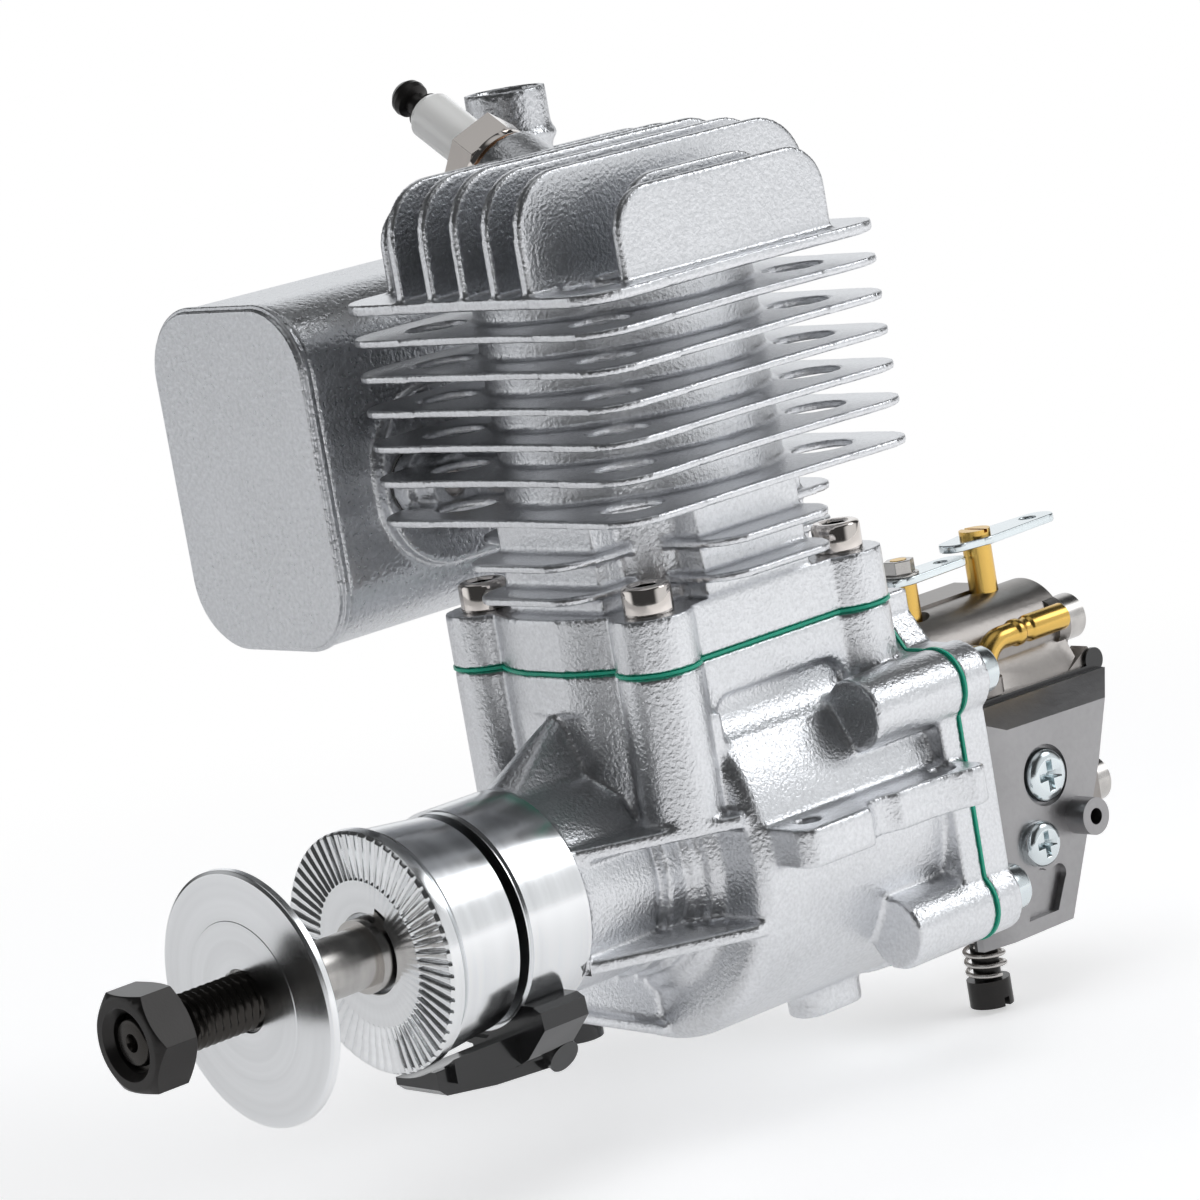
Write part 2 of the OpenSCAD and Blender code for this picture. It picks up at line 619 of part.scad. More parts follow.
// Wedge that carries the reed petals, with its flange behind the rear cover
reed_len = 20;
module reed_block() color("dimgray") difference() {
    union() {
        translate([0, reed_y + 0.6, 0]) rotate([-90, 0, 0]) linear_extrude(reed_t - 0.6)
            round_rect(32, 40, 3);
        reed_wedge(reed_w, reed_h, reed_len, 0);
    }
    reed_wedge(reed_w - 5, reed_h - 4, reed_len - 4, 3);
    translate([0, reed_y + 3, 0]) cube([reed_w - 5, 8, reed_h - 6], center = true);
    for (s = [-1, 1]) translate([carb_screw_x, 0, s * carb_screw_z])
        ring_y(reed_y - 1, reed_t + 2, m5 / 2 + screw_fit);
    for (s = [-1, 1]) translate([0, reed_y - 9, s * 6]) cube([reed_w - 10, 9, 14], center = true);
}
module reed_wedge(w, h, len, back) translate([-w / 2, 0, 0]) rotate([90, 0, 90]) linear_extrude(w)
    polygon([[reed_y + 1, -h / 2], [reed_y - 3 + back, -h / 2], [reed_y - len, -1.6], [reed_y - len, 1.6],
        [reed_y - 3 + back, h / 2], [reed_y + 1, h / 2]]);

reed_slope = atan((reed_h / 2 - 1.6) / (reed_len - 3));
module reed_petals() color("darkslategray") for (s = [0, 1]) mirror([0, 0, s])
    translate([0, reed_y - reed_len, 1.6]) rotate([reed_slope, 0, 0]) translate([-reed_w / 2 + 1, 0.5, 0])
        cube([reed_w - 2, 18, 0.4]);

module carb_insulator() color("saddlebrown") difference() {
    translate([0, reed_y + reed_t, 0]) rotate([-90, 0, 0]) linear_extrude(insul_t) round_rect(30, 40, 4);
    ring_y(reed_y, insul_t + 8, venturi_d / 2 + 1);
    for (s = [-1, 1]) translate([carb_screw_x, 0, s * carb_screw_z])
        ring_y(reed_y, insul_t + 8, m5 / 2 + screw_fit);
}

carb_back = carb_y + carb_len;
// Side cover, seen from the side: its foot on the body and its smaller outer face, along the venturi and up
cover_foot = [[carb_y + 1.2, 7.2], [carb_y + 41.8, 6.4], [carb_y + 33.4, -10], [carb_y + 21, -35.6],
    [carb_y, -35.6]];
cover_face = [[carb_y + 9.6, 3.2], [carb_y + 35.6, 2.4], [carb_y + 31.4, -8.6], [carb_y + 18.8, -34.4],
    [carb_y + 3.4, -34.4]];
lower_poly = [[carb_y, -33], [carb_y + 20, -33], [carb_y + 30, -12], [carb_back - 4, -8],
    [carb_back - 4, 0], [carb_y, 0]];
idle_x = 9;
idle_y = carb_y + 6;
idle_z = -35;

ridge_r = 9.6;
ridge_x = 0.4;
module carb_body() color("gray") difference() {
    union() {
        // Long round ridge over the two shafts, and its flat side that slants down to the side cover
        translate([ridge_x, 0, carb_top - ridge_r]) ring_y(carb_y, carb_len, ridge_r);
        outline_xz(carb_y, carb_len - 1) polygon([[-carb_side, -18], [carb_side, -18], [carb_side, 7.2],
            [ridge_x + ridge_r - 0.2, 13.2], [ridge_x, 16], [-carb_side, 9]]);
        outline_yz(9, carb_side - 9) polygon([[carb_y + 34, 7], [carb_y + 40.4, 10.6], [carb_y + 41.6, 8.6],
            [carb_y + 38, 0], [carb_y + 34, 0]]);
        outline_yz(-carb_side, 2 * carb_side) polygon(lower_poly);
        ring_y(carb_back - 6, 6, 12);
        translate([elbow_foot[0] - 0.4, elbow_foot[1], 8.3]) cylinder(r = elbow_r + 0.9, h = 2.9);
        // Flat machined pad beside the ridge
        translate([-11, carb_y + 12, 6]) cube([9, 21, carb_top - 5.6]);
        for (s = [-1, 1]) translate([carb_screw_x, 0, s * carb_screw_z]) ring_y(carb_back - 3, 3, 4.8);
        translate([idle_x, idle_y, idle_z]) cylinder(r = 4, h = 10);
    }
    // Venturi, wide at its mouth
    ring_y(carb_y - 1, carb_len + 2, venturi_d / 2);
    along_y(carb_back - 12) cylinder(r1 = venturi_d / 2, r2 = venturi_d / 2 + 2.4, h = 12.01);
    ring_y(choke_y - 7, 14, venturi_d / 2 + 1.2);
    // Shaft holes, screw holes, fuel elbow and idle screw
    for (y = [throttle_y, choke_y]) translate([0, y, -14]) cylinder(d = post_d + 2 * run_fit, h = 60);
    translate([0, throttle_y, spring_floor]) cylinder(r = spring_well_r, h = 10);
    for (s = [-1, 1]) translate([carb_screw_x, 0, s * carb_screw_z])
        ring_y(carb_y - 1, carb_len + 2, m5 / 2 + screw_fit);
    elbow_path(0.7);
    translate([idle_x, idle_y, idle_z - 1]) cylinder(r = 2.5 + run_fit, h = 20);
}

module side_gasket() color("black") {
    outline_yz(carb_side, gasket_side_t)
        polygon([for (p = cover_foot) p + [p[0] > carb_y + 10 ? 0.5 : 0, p[1] > 0 ? 0.8 : 0]]);
    outline_yz(carb_side, gasket_side_t) translate([carb_y + 41, 7.9]) circle(r = 2.3);
}
gasket_side_t = 0.7;

big_screw = [carb_y + 17.4, -7.2];
small_screw = [carb_y + 12.7, -18.6];
nipple = [carb_y + 24.1, -16.5];
cover_x = carb_side + gasket_side_t;
side_t = 6.4;

module side_cover() color("gray") difference() {
    union() {
        hull() {
            outline_yz(cover_x, 1.6) polygon(cover_foot);
            outline_yz(cover_x + side_t - 0.1, 0.1) polygon(cover_face);
        }
        translate([cover_x + 1, nipple[0], nipple[1]]) rotate([0, 90, 0]) cylinder(r = 3.4, h = side_t + 3.4);
        translate([cover_x + 1, small_screw[0], small_screw[1]]) rotate([0, 90, 0])
            cylinder(r = 5, h = side_t - 1);
    }
    translate([cover_x + side_t - 1.6, big_screw[0], big_screw[1]]) rotate([0, 90, 0])
        cylinder(r = 5.6, h = 5);
    for (p = [big_screw, small_screw]) translate([cover_x - 1, p[0], p[1]]) rotate([0, 90, 0])
        cylinder(d = 4.2 + 2 * screw_fit, h = 12);
    translate([cover_x + 2, nipple[0], nipple[1]]) rotate([0, 90, 0]) cylinder(r = 1.5, h = 12);
    outline_yz(cover_x + side_t - 1.4, 9) for (p = [[carb_y + 12.4, -25], [carb_y + 17, -25.4]])
        translate(p) circle(r = 1.8);
    outline_yz(cover_x + side_t - 1.4, 9) polygon([[carb_y + 10.8, -24.2], [carb_y + 17.6, -23.7],
        [carb_y + 18.7, -25.9], [carb_y + 15.4, -31.8], [carb_y + 7.6, -31.8]]);
}

module side_cover_screws() color("whitesmoke") {
    translate([cover_x + side_t - 1.6, big_screw[0], big_screw[1]]) rotate([0, 90, 0]) rotate(20)
        pan_screw(4.2, side_t - 1.7, 4.9, 3);
    translate([cover_x + side_t, small_screw[0], small_screw[1]]) rotate([0, 90, 0]) rotate(35)
        pan_screw(4.2, side_t - 0.1, 4.2, 2.6);
}

module metering_gasket() color("black") outline_yz(-carb_side - 0.7, 0.7) translate([carb_y + 18, -3])
    round_rect(31, 31, 3);

module metering_cover() color("gray") difference() {
    outline_yz(-carb_side - 0.7 - 4.4, 4.4) translate([carb_y + 18, -3]) round_rect(31, 31, 3);
    for (i = [-1, 1], j = [-1, 1]) translate([-carb_side - 6, carb_y + 18 + i * 12, -3 + j * 12])
        rotate([0, 90, 0]) cylinder(d = 3 + 2 * screw_fit, h = 6);
    translate([-carb_side - 6, carb_y + 18, -3]) rotate([0, 90, 0]) cylinder(r = 1.2, h = 6);
    translate([-carb_side - 6, carb_y + 18, -3]) rotate([0, 90, 0]) cylinder(r = 7, h = 2);
}

module metering_cover_screws() color("whitesmoke") for (i = [-1, 1], j = [-1, 1])
    translate([-carb_side - 0.7 - 4.4, carb_y + 18 + i * 12, -3 + j * 12]) rotate([0, -90, 0])
        pan_screw(3, 4.3, 2.6, 1.8);

// Brass elbow: foot in the body, bend, then back along the venturi
elbow_r = 2.1;
elbow_bend = 5;
elbow_len = 16;
elbow_depth = 4;
elbow_foot = [12, carb_y + 14.8, 12.4];
module elbow_path(grow = 0) translate(elbow_foot) {
    translate([0, 0, -elbow_depth]) cylinder(r = elbow_r, h = elbow_depth + eps);
    translate([0, elbow_bend, 0]) rotate([90, 0, -90]) rotate_extrude(angle = 90)
        translate([elbow_bend, 0]) circle(r = elbow_r);
    translate([0, elbow_bend, elbow_bend]) along_y(-eps) cylinder(r = elbow_r + grow, h = elbow_len);
}
module fuel_elbow() color("goldenrod") difference() {
    union() {
        elbow_path();
        for (y = [3, 11]) translate(elbow_foot + [0, elbow_bend + y, elbow_bend]) along_y()
            cylinder(r = elbow_r + 0.5, h = 1.6);
    }
    translate(elbow_foot + [0, elbow_bend, elbow_bend]) along_y() cylinder(r = 1.3, h = elbow_len + 1);
}

module carb_screws() color("lightgray") for (s = [-1, 1])
    translate([carb_screw_x, carb_back, s * carb_screw_z])
    along_y() socket_screw(m5, carb_len + insul_t + reed_t + 4.4, m5_head_r, m5_head_h);

// Idle stop screw, slotted at its lower end, and its spring
idle_len = 12.5;
module idle_screw() color("black") translate([idle_x, idle_y, idle_z]) difference() {
    union() {
        translate([0, 0, -idle_len]) cylinder(r = 2.5, h = idle_len + 12);
        translate([0, 0, -idle_len]) cylinder(r = 4, h = 5);
    }
    translate([-5, -0.6, -idle_len - 1]) cube([10, 1.2, 2.6]);
}
idle_coils = 4;
module idle_spring() color("dimgray") translate([idle_x, idle_y, idle_z]) for (i = [0:idle_coils - 1])
    translate([0, 0, -idle_len + 5.9 + i * (idle_len - 6.7) / (idle_coils - 1)]) rotate_extrude()
        translate([3.45, 0]) circle(r = 0.5);

// Upright shaft in a brass sleeve, cut flat where its butterfly plate sits
module valve_shaft(y, top) difference() {
    translate([0, y, -12]) cylinder(d = post_d, h = top + 12);
    translate([0, y, 0]) cube([plate_w + 0.04, 20, venturi_d + 3], center = true);
}
plate_w = 1;
throttle_lever_z = 29.8;
// Return spring of the throttle, in a well round its shaft
spring_floor = carb_top - 5.6;
spring_well_r = 4;
spring_r = 3.4;
choke_lever_z = 32.4;
lever_t = 1.5;

// Flat lever with a round eye round the post and a hole for its link near its end
link_inset = 2.5;
module lever(y, z, back, reach, r_hub, r_end, hole_r) translate([0, y, z]) linear_extrude(lever_t)
    difference() {
    union() {
        circle(r = r_hub);
        translate([0, reach]) circle(r = r_end);
        translate([0, -back]) circle(r = r_end);
        polygon([[-r_hub, 0], [-r_end, -back], [r_end, -back], [r_hub, 0], [r_end, reach], [-r_end, reach]]);
    }
    circle(r = 1.5);
    translate([0, reach - link_inset]) circle(r = hole_r);
}

module throttle_shaft() color("goldenrod") {
    valve_shaft(throttle_y, throttle_lever_z);
    translate([0, throttle_y, throttle_lever_z - 1]) cylinder(r = 1.5, h = 5.5);
}
module throttle_plate() color("goldenrod") translate([-plate_w / 2, throttle_y, 0]) rotate([0, 90, 0])
    butterfly();
module butterfly() cylinder(r = venturi_d / 2 - 0.3, h = plate_w);
module throttle_lever() color("silver") lever(throttle_y, throttle_lever_z, 2.5, 12.9, 3.6, 2.9, 1.3);
module throttle_nut() color("silver") translate([0, throttle_y, throttle_lever_z + lever_t]) difference() {
    union() {
        cylinder(r = 3.4, h = 0.5);
        translate([0, 0, 0.5]) cylinder(r = 2.9, h = 2.4, $fn = 6);
    }
    translate([0, 0, -1]) cylinder(r = 1.5, h = 6);
}
module throttle_spring() color("dimgray") translate([0, throttle_y, 0]) for (i = [0:3])
    translate([0, 0, spring_floor + 0.5 + i * 1.1]) rotate_extrude() translate([spring_r, 0]) circle(r = 0.5);

module choke_shaft() color("goldenrod") valve_shaft(choke_y, choke_lever_z);
module choke_plate() color("goldenrod") translate([-plate_w / 2, choke_y, 0]) rotate([0, 90, 0]) butterfly();
module choke_lever() color("silver") lever(choke_y, choke_lever_z, 5.4, 16.6, 4.2, 3, 1.6);
module choke_screw() color("goldenrod") translate([0, choke_y, choke_lever_z + lever_t]) difference() {
    cylinder(r = 2.9, h = 1.2);
    translate([-3, -0.4, 0.6]) cube([6, 0.8, 2]);
}

// Crankshaft with its overhung web; the pin is at the top
web_cheek = 9.6;
module crankshaft() color("lightgray") difference() {
    union() {
        difference() {
            ring_y(-web_y - web_t, web_t, web_r);
            // The flanks beside the pin are cut away to balance it
            for (s = [-1, 1]) mirror([s < 0 ? 1 : 0, 0, 0]) translate([web_cheek, -web_y - web_t - 1, 2])
                cube([web_r, web_t + 2, web_r]);
        }
        ring_y(-brg_y - rear_brg[2], rear_brg[2] + 1.2, journal_d / 2);
        ring_y(-hub_face, hub_face - brg_y, shaft_d / 2);
        ring_y(-hub_face - 2, 3, shaft_d / 2 + 0.3);
        ring_y(-pilot_y, pilot_len, pilot_d / 2);
    }
    // Thread for the nose stud, key seat and the pin's hole
    ring_y(-pilot_y - 1, 14, 3.5);
    key_block(0);
}

// Square key between the shaft and the driver
module key_block(grow) rotate([0, 35, 0])
    translate([-1.5 - grow, -hub_face + 0.6, shaft_d / 2 - 1.6 - grow])
    cube([3 + 2 * grow, 9, 3.2 + 2 * grow]);
module hub_key() color("dimgray") key_block(0);

// Stud with a stepped end and a centre hole
stud_end_r = 3.7;
module prop_stud() color("black") difference() {
    union() {
        ring_y(-stud_y + 1, stud_len - 1, stud_d / 2);
        ring_y(-stud_y, 2, stud_end_r);
        ring_y(-pilot_y, 12, 3.5);
    }
    ring_y(-stud_y - 1, 4, 1.4);
}

module prop_driver() color("silver") difference() {
    along_y(-hub_face) rotate_extrude()
        polygon([[shaft_d / 2, 0], [hub_r - 0.5, 0], [hub_r, 0.5], [hub_r, 3.2],
        [hub_r - 0.8, 3.4], [hub_r - 2.4, hub_len], [shaft_d / 2, hub_len]]);
    ring_y(-hub_face - 1, 1.6, shaft_d / 2 + 0.9);
    // Radial grooves that grip the propeller
    for (i = [0:hub_teeth - 1]) rotate([0, i * 360 / hub_teeth, 0]) translate([12.6, -hub_face, 0])
        rotate([45, 0, 0])
        translate([0, -groove / 2, -groove / 2]) cube([10, groove, groove]);
    key_block(0.02);
    magnet_block(0);
}
groove = 0.8;
module magnet_block(grow) rotate([0, 70, 0]) translate([hub_r - 5.2, -hub_face + 9, 0]) rotate([0, 90, 0])
    cylinder(r = 2 + grow, h = 3.4);
module driver_magnet() color("dimgray") magnet_block(0);

module thrust_washer() color("silver") along_y(-washer_y) rotate_extrude()
    polygon([[pilot_d / 2 + run_fit, 0],
    [13.4, 0], [washer_r - 0.3, 0.5], [washer_r, 0.8], [washer_r, washer_t - 0.3], [washer_r - 0.3, washer_t],
    [pilot_d / 2 + run_fit, washer_t]]);

module prop_nut() color("black") difference() {
    intersection() {
        along_y(-nut_y) cylinder(r = nut_af / 2 / cos(30), h = nut_h, $fn = 6);
        along_y(-nut_y) rotate_extrude()
            polygon([[0, 0], [nut_af / 2 - 0.6, 0], [nut_af / 2 / cos(30) + 0.2, 1.4],
            [nut_af / 2 / cos(30) + 0.2, nut_h - 0.9], [nut_af / 2 - 0.2, nut_h], [0, nut_h]]);
    }
    ring_y(-nut_y - 1, nut_h + 2, stud_d / 2);
    along_y(-nut_y - 0.01) cylinder(r1 = stud_d / 2 + 1.2, r2 = stud_d / 2, h = 1.4);
}

// Rod, pins and piston, at top dead centre
pin_d = 9;
rod_w = 9;
big_r = crankpin_d / 2 + 2;
module crankpin() color("lightgray") translate([0, 0, stroke / 2]) difference() {
    ring_y(-web_y + pin_gap, web_y - pin_gap + rod_w / 2 + 0.6, crankpin_d / 2);
    ring_y(-web_y, 20, 2);
}
module connecting_rod() color("lightgray") difference() {
    union() {
        translate([0, 0, stroke / 2]) ring_y(-rod_w / 2, rod_w, big_r + 2.4);
        translate([0, 0, pin_z]) ring_y(-rod_w / 2, rod_w, pin_d / 2 + 3.6);
        translate([-4, -rod_w / 2 + 1, stroke / 2]) cube([8, rod_w - 2, rod_len]);
    }
    for (s = [-1, 1]) translate([-2.4, s * 3.2 - 1.6, stroke / 2 + 11]) cube([4.8, 3.2, rod_len - 20.5]);
    translate([0, 0, stroke / 2]) ring_y(-rod_w, 2 * rod_w, big_r);
    translate([0, 0, pin_z]) ring_y(-rod_w, 2 * rod_w, pin_d / 2 + 1.5);
}
module rod_bearings() color("goldenrod") {
    translate([0, 0, stroke / 2]) ring_y(-rod_w / 2 + 0.2, rod_w - 0.4, big_r, crankpin_d / 2);
    translate([0, 0, pin_z]) ring_y(-rod_w / 2 + 0.2, rod_w - 0.4, pin_d / 2 + 1.5, pin_d / 2);
}
module wrist_pin() color("lightgray") translate([0, 0, pin_z]) ring_y(-14, 28, pin_d / 2, 2.6);
module circlips() color("dimgray") translate([0, 0, pin_z]) for (y = [-15, 14])
    ring_y(y, 1, pin_d / 2, pin_d / 2 - 1);

piston_r = bore_d / 2 - run_fit;
module piston() color("silver") difference() {
    translate([0, 0, pin_z - skirt_h]) cylinder(r = piston_r, h = skirt_h + crown_h);
    // Hollow under the crown, between the pin bosses
    translate([0, 0, pin_z - skirt_h - 1]) cylinder(r = piston_r - 2.4, h = skirt_h + 1 - 7);
    intersection() {
        translate([0, 0, pin_z - skirt_h - 1]) cylinder(r = piston_r - 2.4, h = skirt_h + crown_h - 3);
        translate([0, 0, pin_z]) cube([60, rod_w + 1.6, 60], center = true);
    }
    translate([0, 0, pin_z]) ring_y(-30, 60, pin_d / 2);
    // Windows in the skirt over the transfer ports, ring groove
    for (s = [-1, 1]) translate([s * piston_r, 0, pin_z - skirt_h]) cube([10, 12, 9], center = true);
    translate([0, 0, tdc_z - ring_drop]) difference() {
        cylinder(r = piston_r + 1, h = ring_h);
        translate([0, 0, -1]) cylinder(r = piston_r - 1.6, h = 4);
    }
}
ring_drop = 3.6;
ring_h = 1.2;
module piston_ring() color("gray") translate([0, 0, tdc_z - ring_drop]) difference() {
    cylinder(r = bore_d / 2 - 0.02, h = ring_h);
    translate([0, 0, -1]) cylinder(r = piston_r - 1.6, h = 4);
    translate([0, 10, 0.5]) rotate([0, 0, 45]) cube([0.4, 30, 4], center = true);
}

module exhaust_gasket() color("darkgray") difference() {
    outline_yz(-exhaust_x - gasket_t, gasket_t) exhaust_outline();
    muffler_inlet(4);
    for (s = [-1, 1]) translate([-exhaust_x - 2, s * exhaust_lug_y, port_z]) rotate([0, 90, 0])
        cylinder(d = m5 + 2 * screw_fit, h = 4);
}
module muffler_inlet(len) translate([-exhaust_x - gasket_t - 1, -port_w / 2, port_top - port_h])
    cube([len, port_w, port_h]);

// Muffler: an open box, its pressed front cap and its outlet
module muffler_outline(grow = 0) translate([-muffler_mid, muffler_z])
    round_rect(muffler_w + 2 * grow, muffler_h + 2 * grow, muffler_r + grow);
tube_r = m5_head_r + 0.7;
module muffler_body() color("silver") difference() {
    union() {
        difference() {
            outline_xz(-muffler_front, muffler_len) muffler_outline();
            outline_xz(-muffler_front - 1, muffler_len - muffler_wall + 1) muffler_outline(-muffler_wall);
        }
        // Raised pad that meets the exhaust flange
        outline_yz(-muffler_x - muffler_wall, 3 + muffler_wall) translate([0, port_z]) round_rect(52, 32, 14);
        // Tubes that the screws are reached through
        for (s = [-1, 1]) translate([-muffler_x - muffler_w, s * exhaust_lug_y, port_z])
            rotate([0, 90, 0]) cylinder(r = tube_r + 1, h = muffler_w);
        // Outlet pipe with a bead for its hose
        translate([outlet_x, outlet_y, muffler_z + muffler_h / 2 - 2]) cylinder(r = outlet_r - 0.3, h = 20);
        translate([outlet_x, outlet_y, outlet_bead_z]) rotate_extrude() translate([outlet_r - 0.5, 0])
            circle(r = 1.3);
        translate([outlet_x, outlet_y, outlet_bead_z]) cylinder(r = outlet_r, h = outlet_lip);
    }
    for (s = [-1, 1]) translate([0, s * exhaust_lug_y, port_z]) rotate([0, 90, 0]) {
        translate([0, 0, -muffler_x - muffler_w - 1]) cylinder(r = tube_r, h = muffler_w - 4);
        translate([0, 0, -muffler_x - 20]) cylinder(d = m5 + 2 * screw_fit, h = 30);
    }
    muffler_inlet_hole();
    translate([outlet_x, outlet_y, muffler_z + muffler_h / 2 - 6])
        cylinder(r = outlet_r - outlet_wall, h = 40);
}
module muffler_inlet_hole() translate([-muffler_x - 4, -port_w / 2, port_top - port_h])
    cube([10, port_w, port_h]);

module muffler_cap() color("silver") {
    outline_xz(-muffler_front - 1.2, 1.2) muffler_outline(0.3);
    outline_xz(-muffler_front - 2, 0.9) muffler_outline(-0.5);
    outline_xz(-muffler_front - eps, 2.5) difference() {
        muffler_outline(-muffler_wall);
        muffler_outline(-muffler_wall - 1.2);
    }
}

module muffler_screws() color("dimgray") for (s = [-1, 1])
    translate([-muffler_x - 5, s * exhaust_lug_y, port_z])
    rotate([0, -90, 0]) socket_screw(m5, 5 + 3 + gasket_t + 9, m5_head_r, m5_head_h);

// Ignition sensor in its holder under the turned nose
sensor_front = hub_face - 1.5;
sensor_clear = 0.9;
module ignition_sensor() color("black") {
    sensor_clamp();
    // Arm behind the clamp, with its round end beside the keel
    translate([-11, -50, -28.2]) cube([13, 6, 2.4]);
    translate([-10.4, -46, -28.2]) cube([5.6, 16, 2]);
    translate([-7.6, -30, -29.4]) cylinder(r = 4.6, h = 3.2);
}
module sensor_clamp() difference() {
    union() {
        // Saddle under the nose and the block at its side
        ring_y(-nose_y + 0.8, 8.6, nose_r + 2.6);
        outline_xz(-nose_y - 0.4, 9.8) polygon([[17, -13.4], [18.7, -14.2], [19, -17.2], [13.5, -22.6],
            [8, -25.2], [3, -26], [3, -20], [12, -12]]);
        // Foot plate with a curved underside, and the housing that stands on its near edge
        outline_yz(-1, 11) polygon([[-sensor_front, -20], [-sensor_front, -23], [1.5 - sensor_front, -24.3],
            [-63, -25.8], [-50, -26.6], [-48.4, -25.6], [-48.4, -20]]);
        outline_yz(4, 7.4) polygon([[3 - sensor_front, -16], [3 - sensor_front, -22.6], [-50, -24.4], [-50, -16]]);
        translate([9.4, -49.8, -23.2]) rotate([0, 120, 0]) cylinder(r = 3, h = 3.4);
    }
    // Room for the nose, the driver and everything above the clamp
    ring_y(-nose_y - 0.5, nose_len + 12, nose_r);
    ring_y(-hub_face - 4, hub_face + 4 - nose_y, hub_r + sensor_clear);
    translate([-60, -hub_face - 4, -13.4]) cube([120, 60, 60]);
    rotate([0, 18, 0]) translate([-60, -hub_face - 4, -60]) cube([60, 60, 120]);
}

crankcase();
shaft_seal();
front_bearing_outer();
front_bearing_inner();
front_bearing_balls();
rear_bearing_outer();
rear_bearing_inner();
rear_bearing_balls();
base_gasket();
cylinder_casting();  // cylinder
cylinder_screws();
spark_plug_shell();
plug_insulator();
plug_terminal();
plug_washer();
rear_gasket();
rear_cover();
rear_cover_screws();
reed_block();
reed_petals();
carb_insulator();
carb_body();
side_gasket();
side_cover();
side_cover_screws();
metering_gasket();
metering_cover();
metering_cover_screws();
fuel_elbow();
carb_screws();
idle_screw();
idle_spring();
throttle_shaft();
throttle_plate();
throttle_lever();
throttle_nut();
throttle_spring();
choke_shaft();
choke_plate();
choke_lever();
choke_screw();
crankshaft();
prop_stud();
hub_key();
prop_driver();
driver_magnet();
thrust_washer();
prop_nut();
crankpin();
connecting_rod();
rod_bearings();
wrist_pin();
circlips();
piston();
piston_ring();
exhaust_gasket();
muffler_body();
muffler_cap();
muffler_screws();
ignition_sensor();
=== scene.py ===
# %% [markdown]
# # A small aircraft engine in cast and turned metal
#
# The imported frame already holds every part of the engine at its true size. This lesson gives each part
# the surface that it has on the bench: soft cast corners, turned faces, cut threads, plated screws. A part
# whose form is already right only gets a finish; a part that needs a softer edge is made again, in place.

# %% The frame
import json
import math

import bmesh
import bpy
from mathutils import Matrix, Vector


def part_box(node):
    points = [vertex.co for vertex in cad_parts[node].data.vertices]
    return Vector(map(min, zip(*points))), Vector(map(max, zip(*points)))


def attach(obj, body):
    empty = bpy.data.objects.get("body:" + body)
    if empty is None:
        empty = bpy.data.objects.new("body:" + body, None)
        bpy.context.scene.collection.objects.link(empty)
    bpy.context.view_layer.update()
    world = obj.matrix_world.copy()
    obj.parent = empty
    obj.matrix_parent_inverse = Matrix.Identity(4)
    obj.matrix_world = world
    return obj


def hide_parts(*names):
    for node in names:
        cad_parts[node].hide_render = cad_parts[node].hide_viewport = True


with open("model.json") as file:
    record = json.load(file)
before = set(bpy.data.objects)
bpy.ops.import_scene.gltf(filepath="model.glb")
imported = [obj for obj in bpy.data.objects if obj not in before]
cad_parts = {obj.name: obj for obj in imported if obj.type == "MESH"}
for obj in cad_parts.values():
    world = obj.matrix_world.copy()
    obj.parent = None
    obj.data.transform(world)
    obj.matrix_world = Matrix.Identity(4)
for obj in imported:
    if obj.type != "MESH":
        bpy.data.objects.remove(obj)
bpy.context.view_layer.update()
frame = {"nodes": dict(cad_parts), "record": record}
nodes = frame["nodes"]
bodies = frame["record"]["behaviour"]["bodies"]
body_with = {node: body for body, members in bodies.items() for node in members}
slot_of = {row["node"]: row["material_slot"] for row in frame["record"]["subparts"]}
MM = 0.001
print("parts in the frame:", len(nodes))

# %% [markdown]
# ## Camera and light
#
# The photograph was taken from the front left corner of the engine, a little above it, with the camera
# rolled so that the propeller shaft runs down to the left. The camera is set from three angles and a
# distance. The light is a white studio: one broad lamp above, one on each side, and a pale floor.

# %% Camera
CAMERA_TURN = math.radians(49.7031)
CAMERA_RISE = math.radians(9.9457)
CAMERA_ROLL = math.radians(-9.8746)
CAMERA_DISTANCE = 843.228 * MM
CAMERA_SHIFT = (-18.2266 * MM, 39.5150 * MM)
FOCAL_PIXELS = 4854.8
IMAGE_PIXELS = 1200
SENSOR_MM = 36
CAMERA_LENS = FOCAL_PIXELS / IMAGE_PIXELS * SENSOR_MM


def camera_axes(turn, rise, roll):
    """Right, up and back directions of a camera that looks at the origin."""
    back = Vector((math.sin(turn) * math.cos(rise), -math.cos(turn) * math.cos(rise), math.sin(rise)))
    level = Vector((math.cos(turn), math.sin(turn), 0))
    upright = back.cross(level)
    right = math.cos(roll) * level + math.sin(roll) * upright
    up = -math.sin(roll) * level + math.cos(roll) * upright
    return right, up, back


right, up, back = camera_axes(CAMERA_TURN, CAMERA_RISE, CAMERA_ROLL)
camera = bpy.data.objects.new("camera", bpy.data.cameras.new("camera"))
bpy.context.scene.collection.objects.link(camera)
camera.data.lens = CAMERA_LENS
camera.data.clip_start = 0.05
camera.data.clip_end = 20
place = CAMERA_SHIFT[0] * right + CAMERA_SHIFT[1] * up + CAMERA_DISTANCE * back
camera.matrix_world = Matrix.Translation(place) @ Matrix((right, up, back)).transposed().to_4x4()
bpy.context.scene.camera = camera
print("camera at", [round(v, 3) for v in place])


# %% Lamps and floor
AIM = Vector((0, 0, 0.04))


def lamp(name, at, size, watts):
    """A soft square lamp that faces the engine. Mirrors see the room's white walls instead of it."""
    light = bpy.data.lights.new(name, "AREA")
    light.shape = "SQUARE"
    light.size = size
    light.energy = watts
    holder = bpy.data.objects.new(name, light)
    holder.location = at
    holder.rotation_euler = (AIM - Vector(at)).to_track_quat("-Z", "Y").to_euler()
    holder.visible_glossy = False
    bpy.context.scene.collection.objects.link(holder)


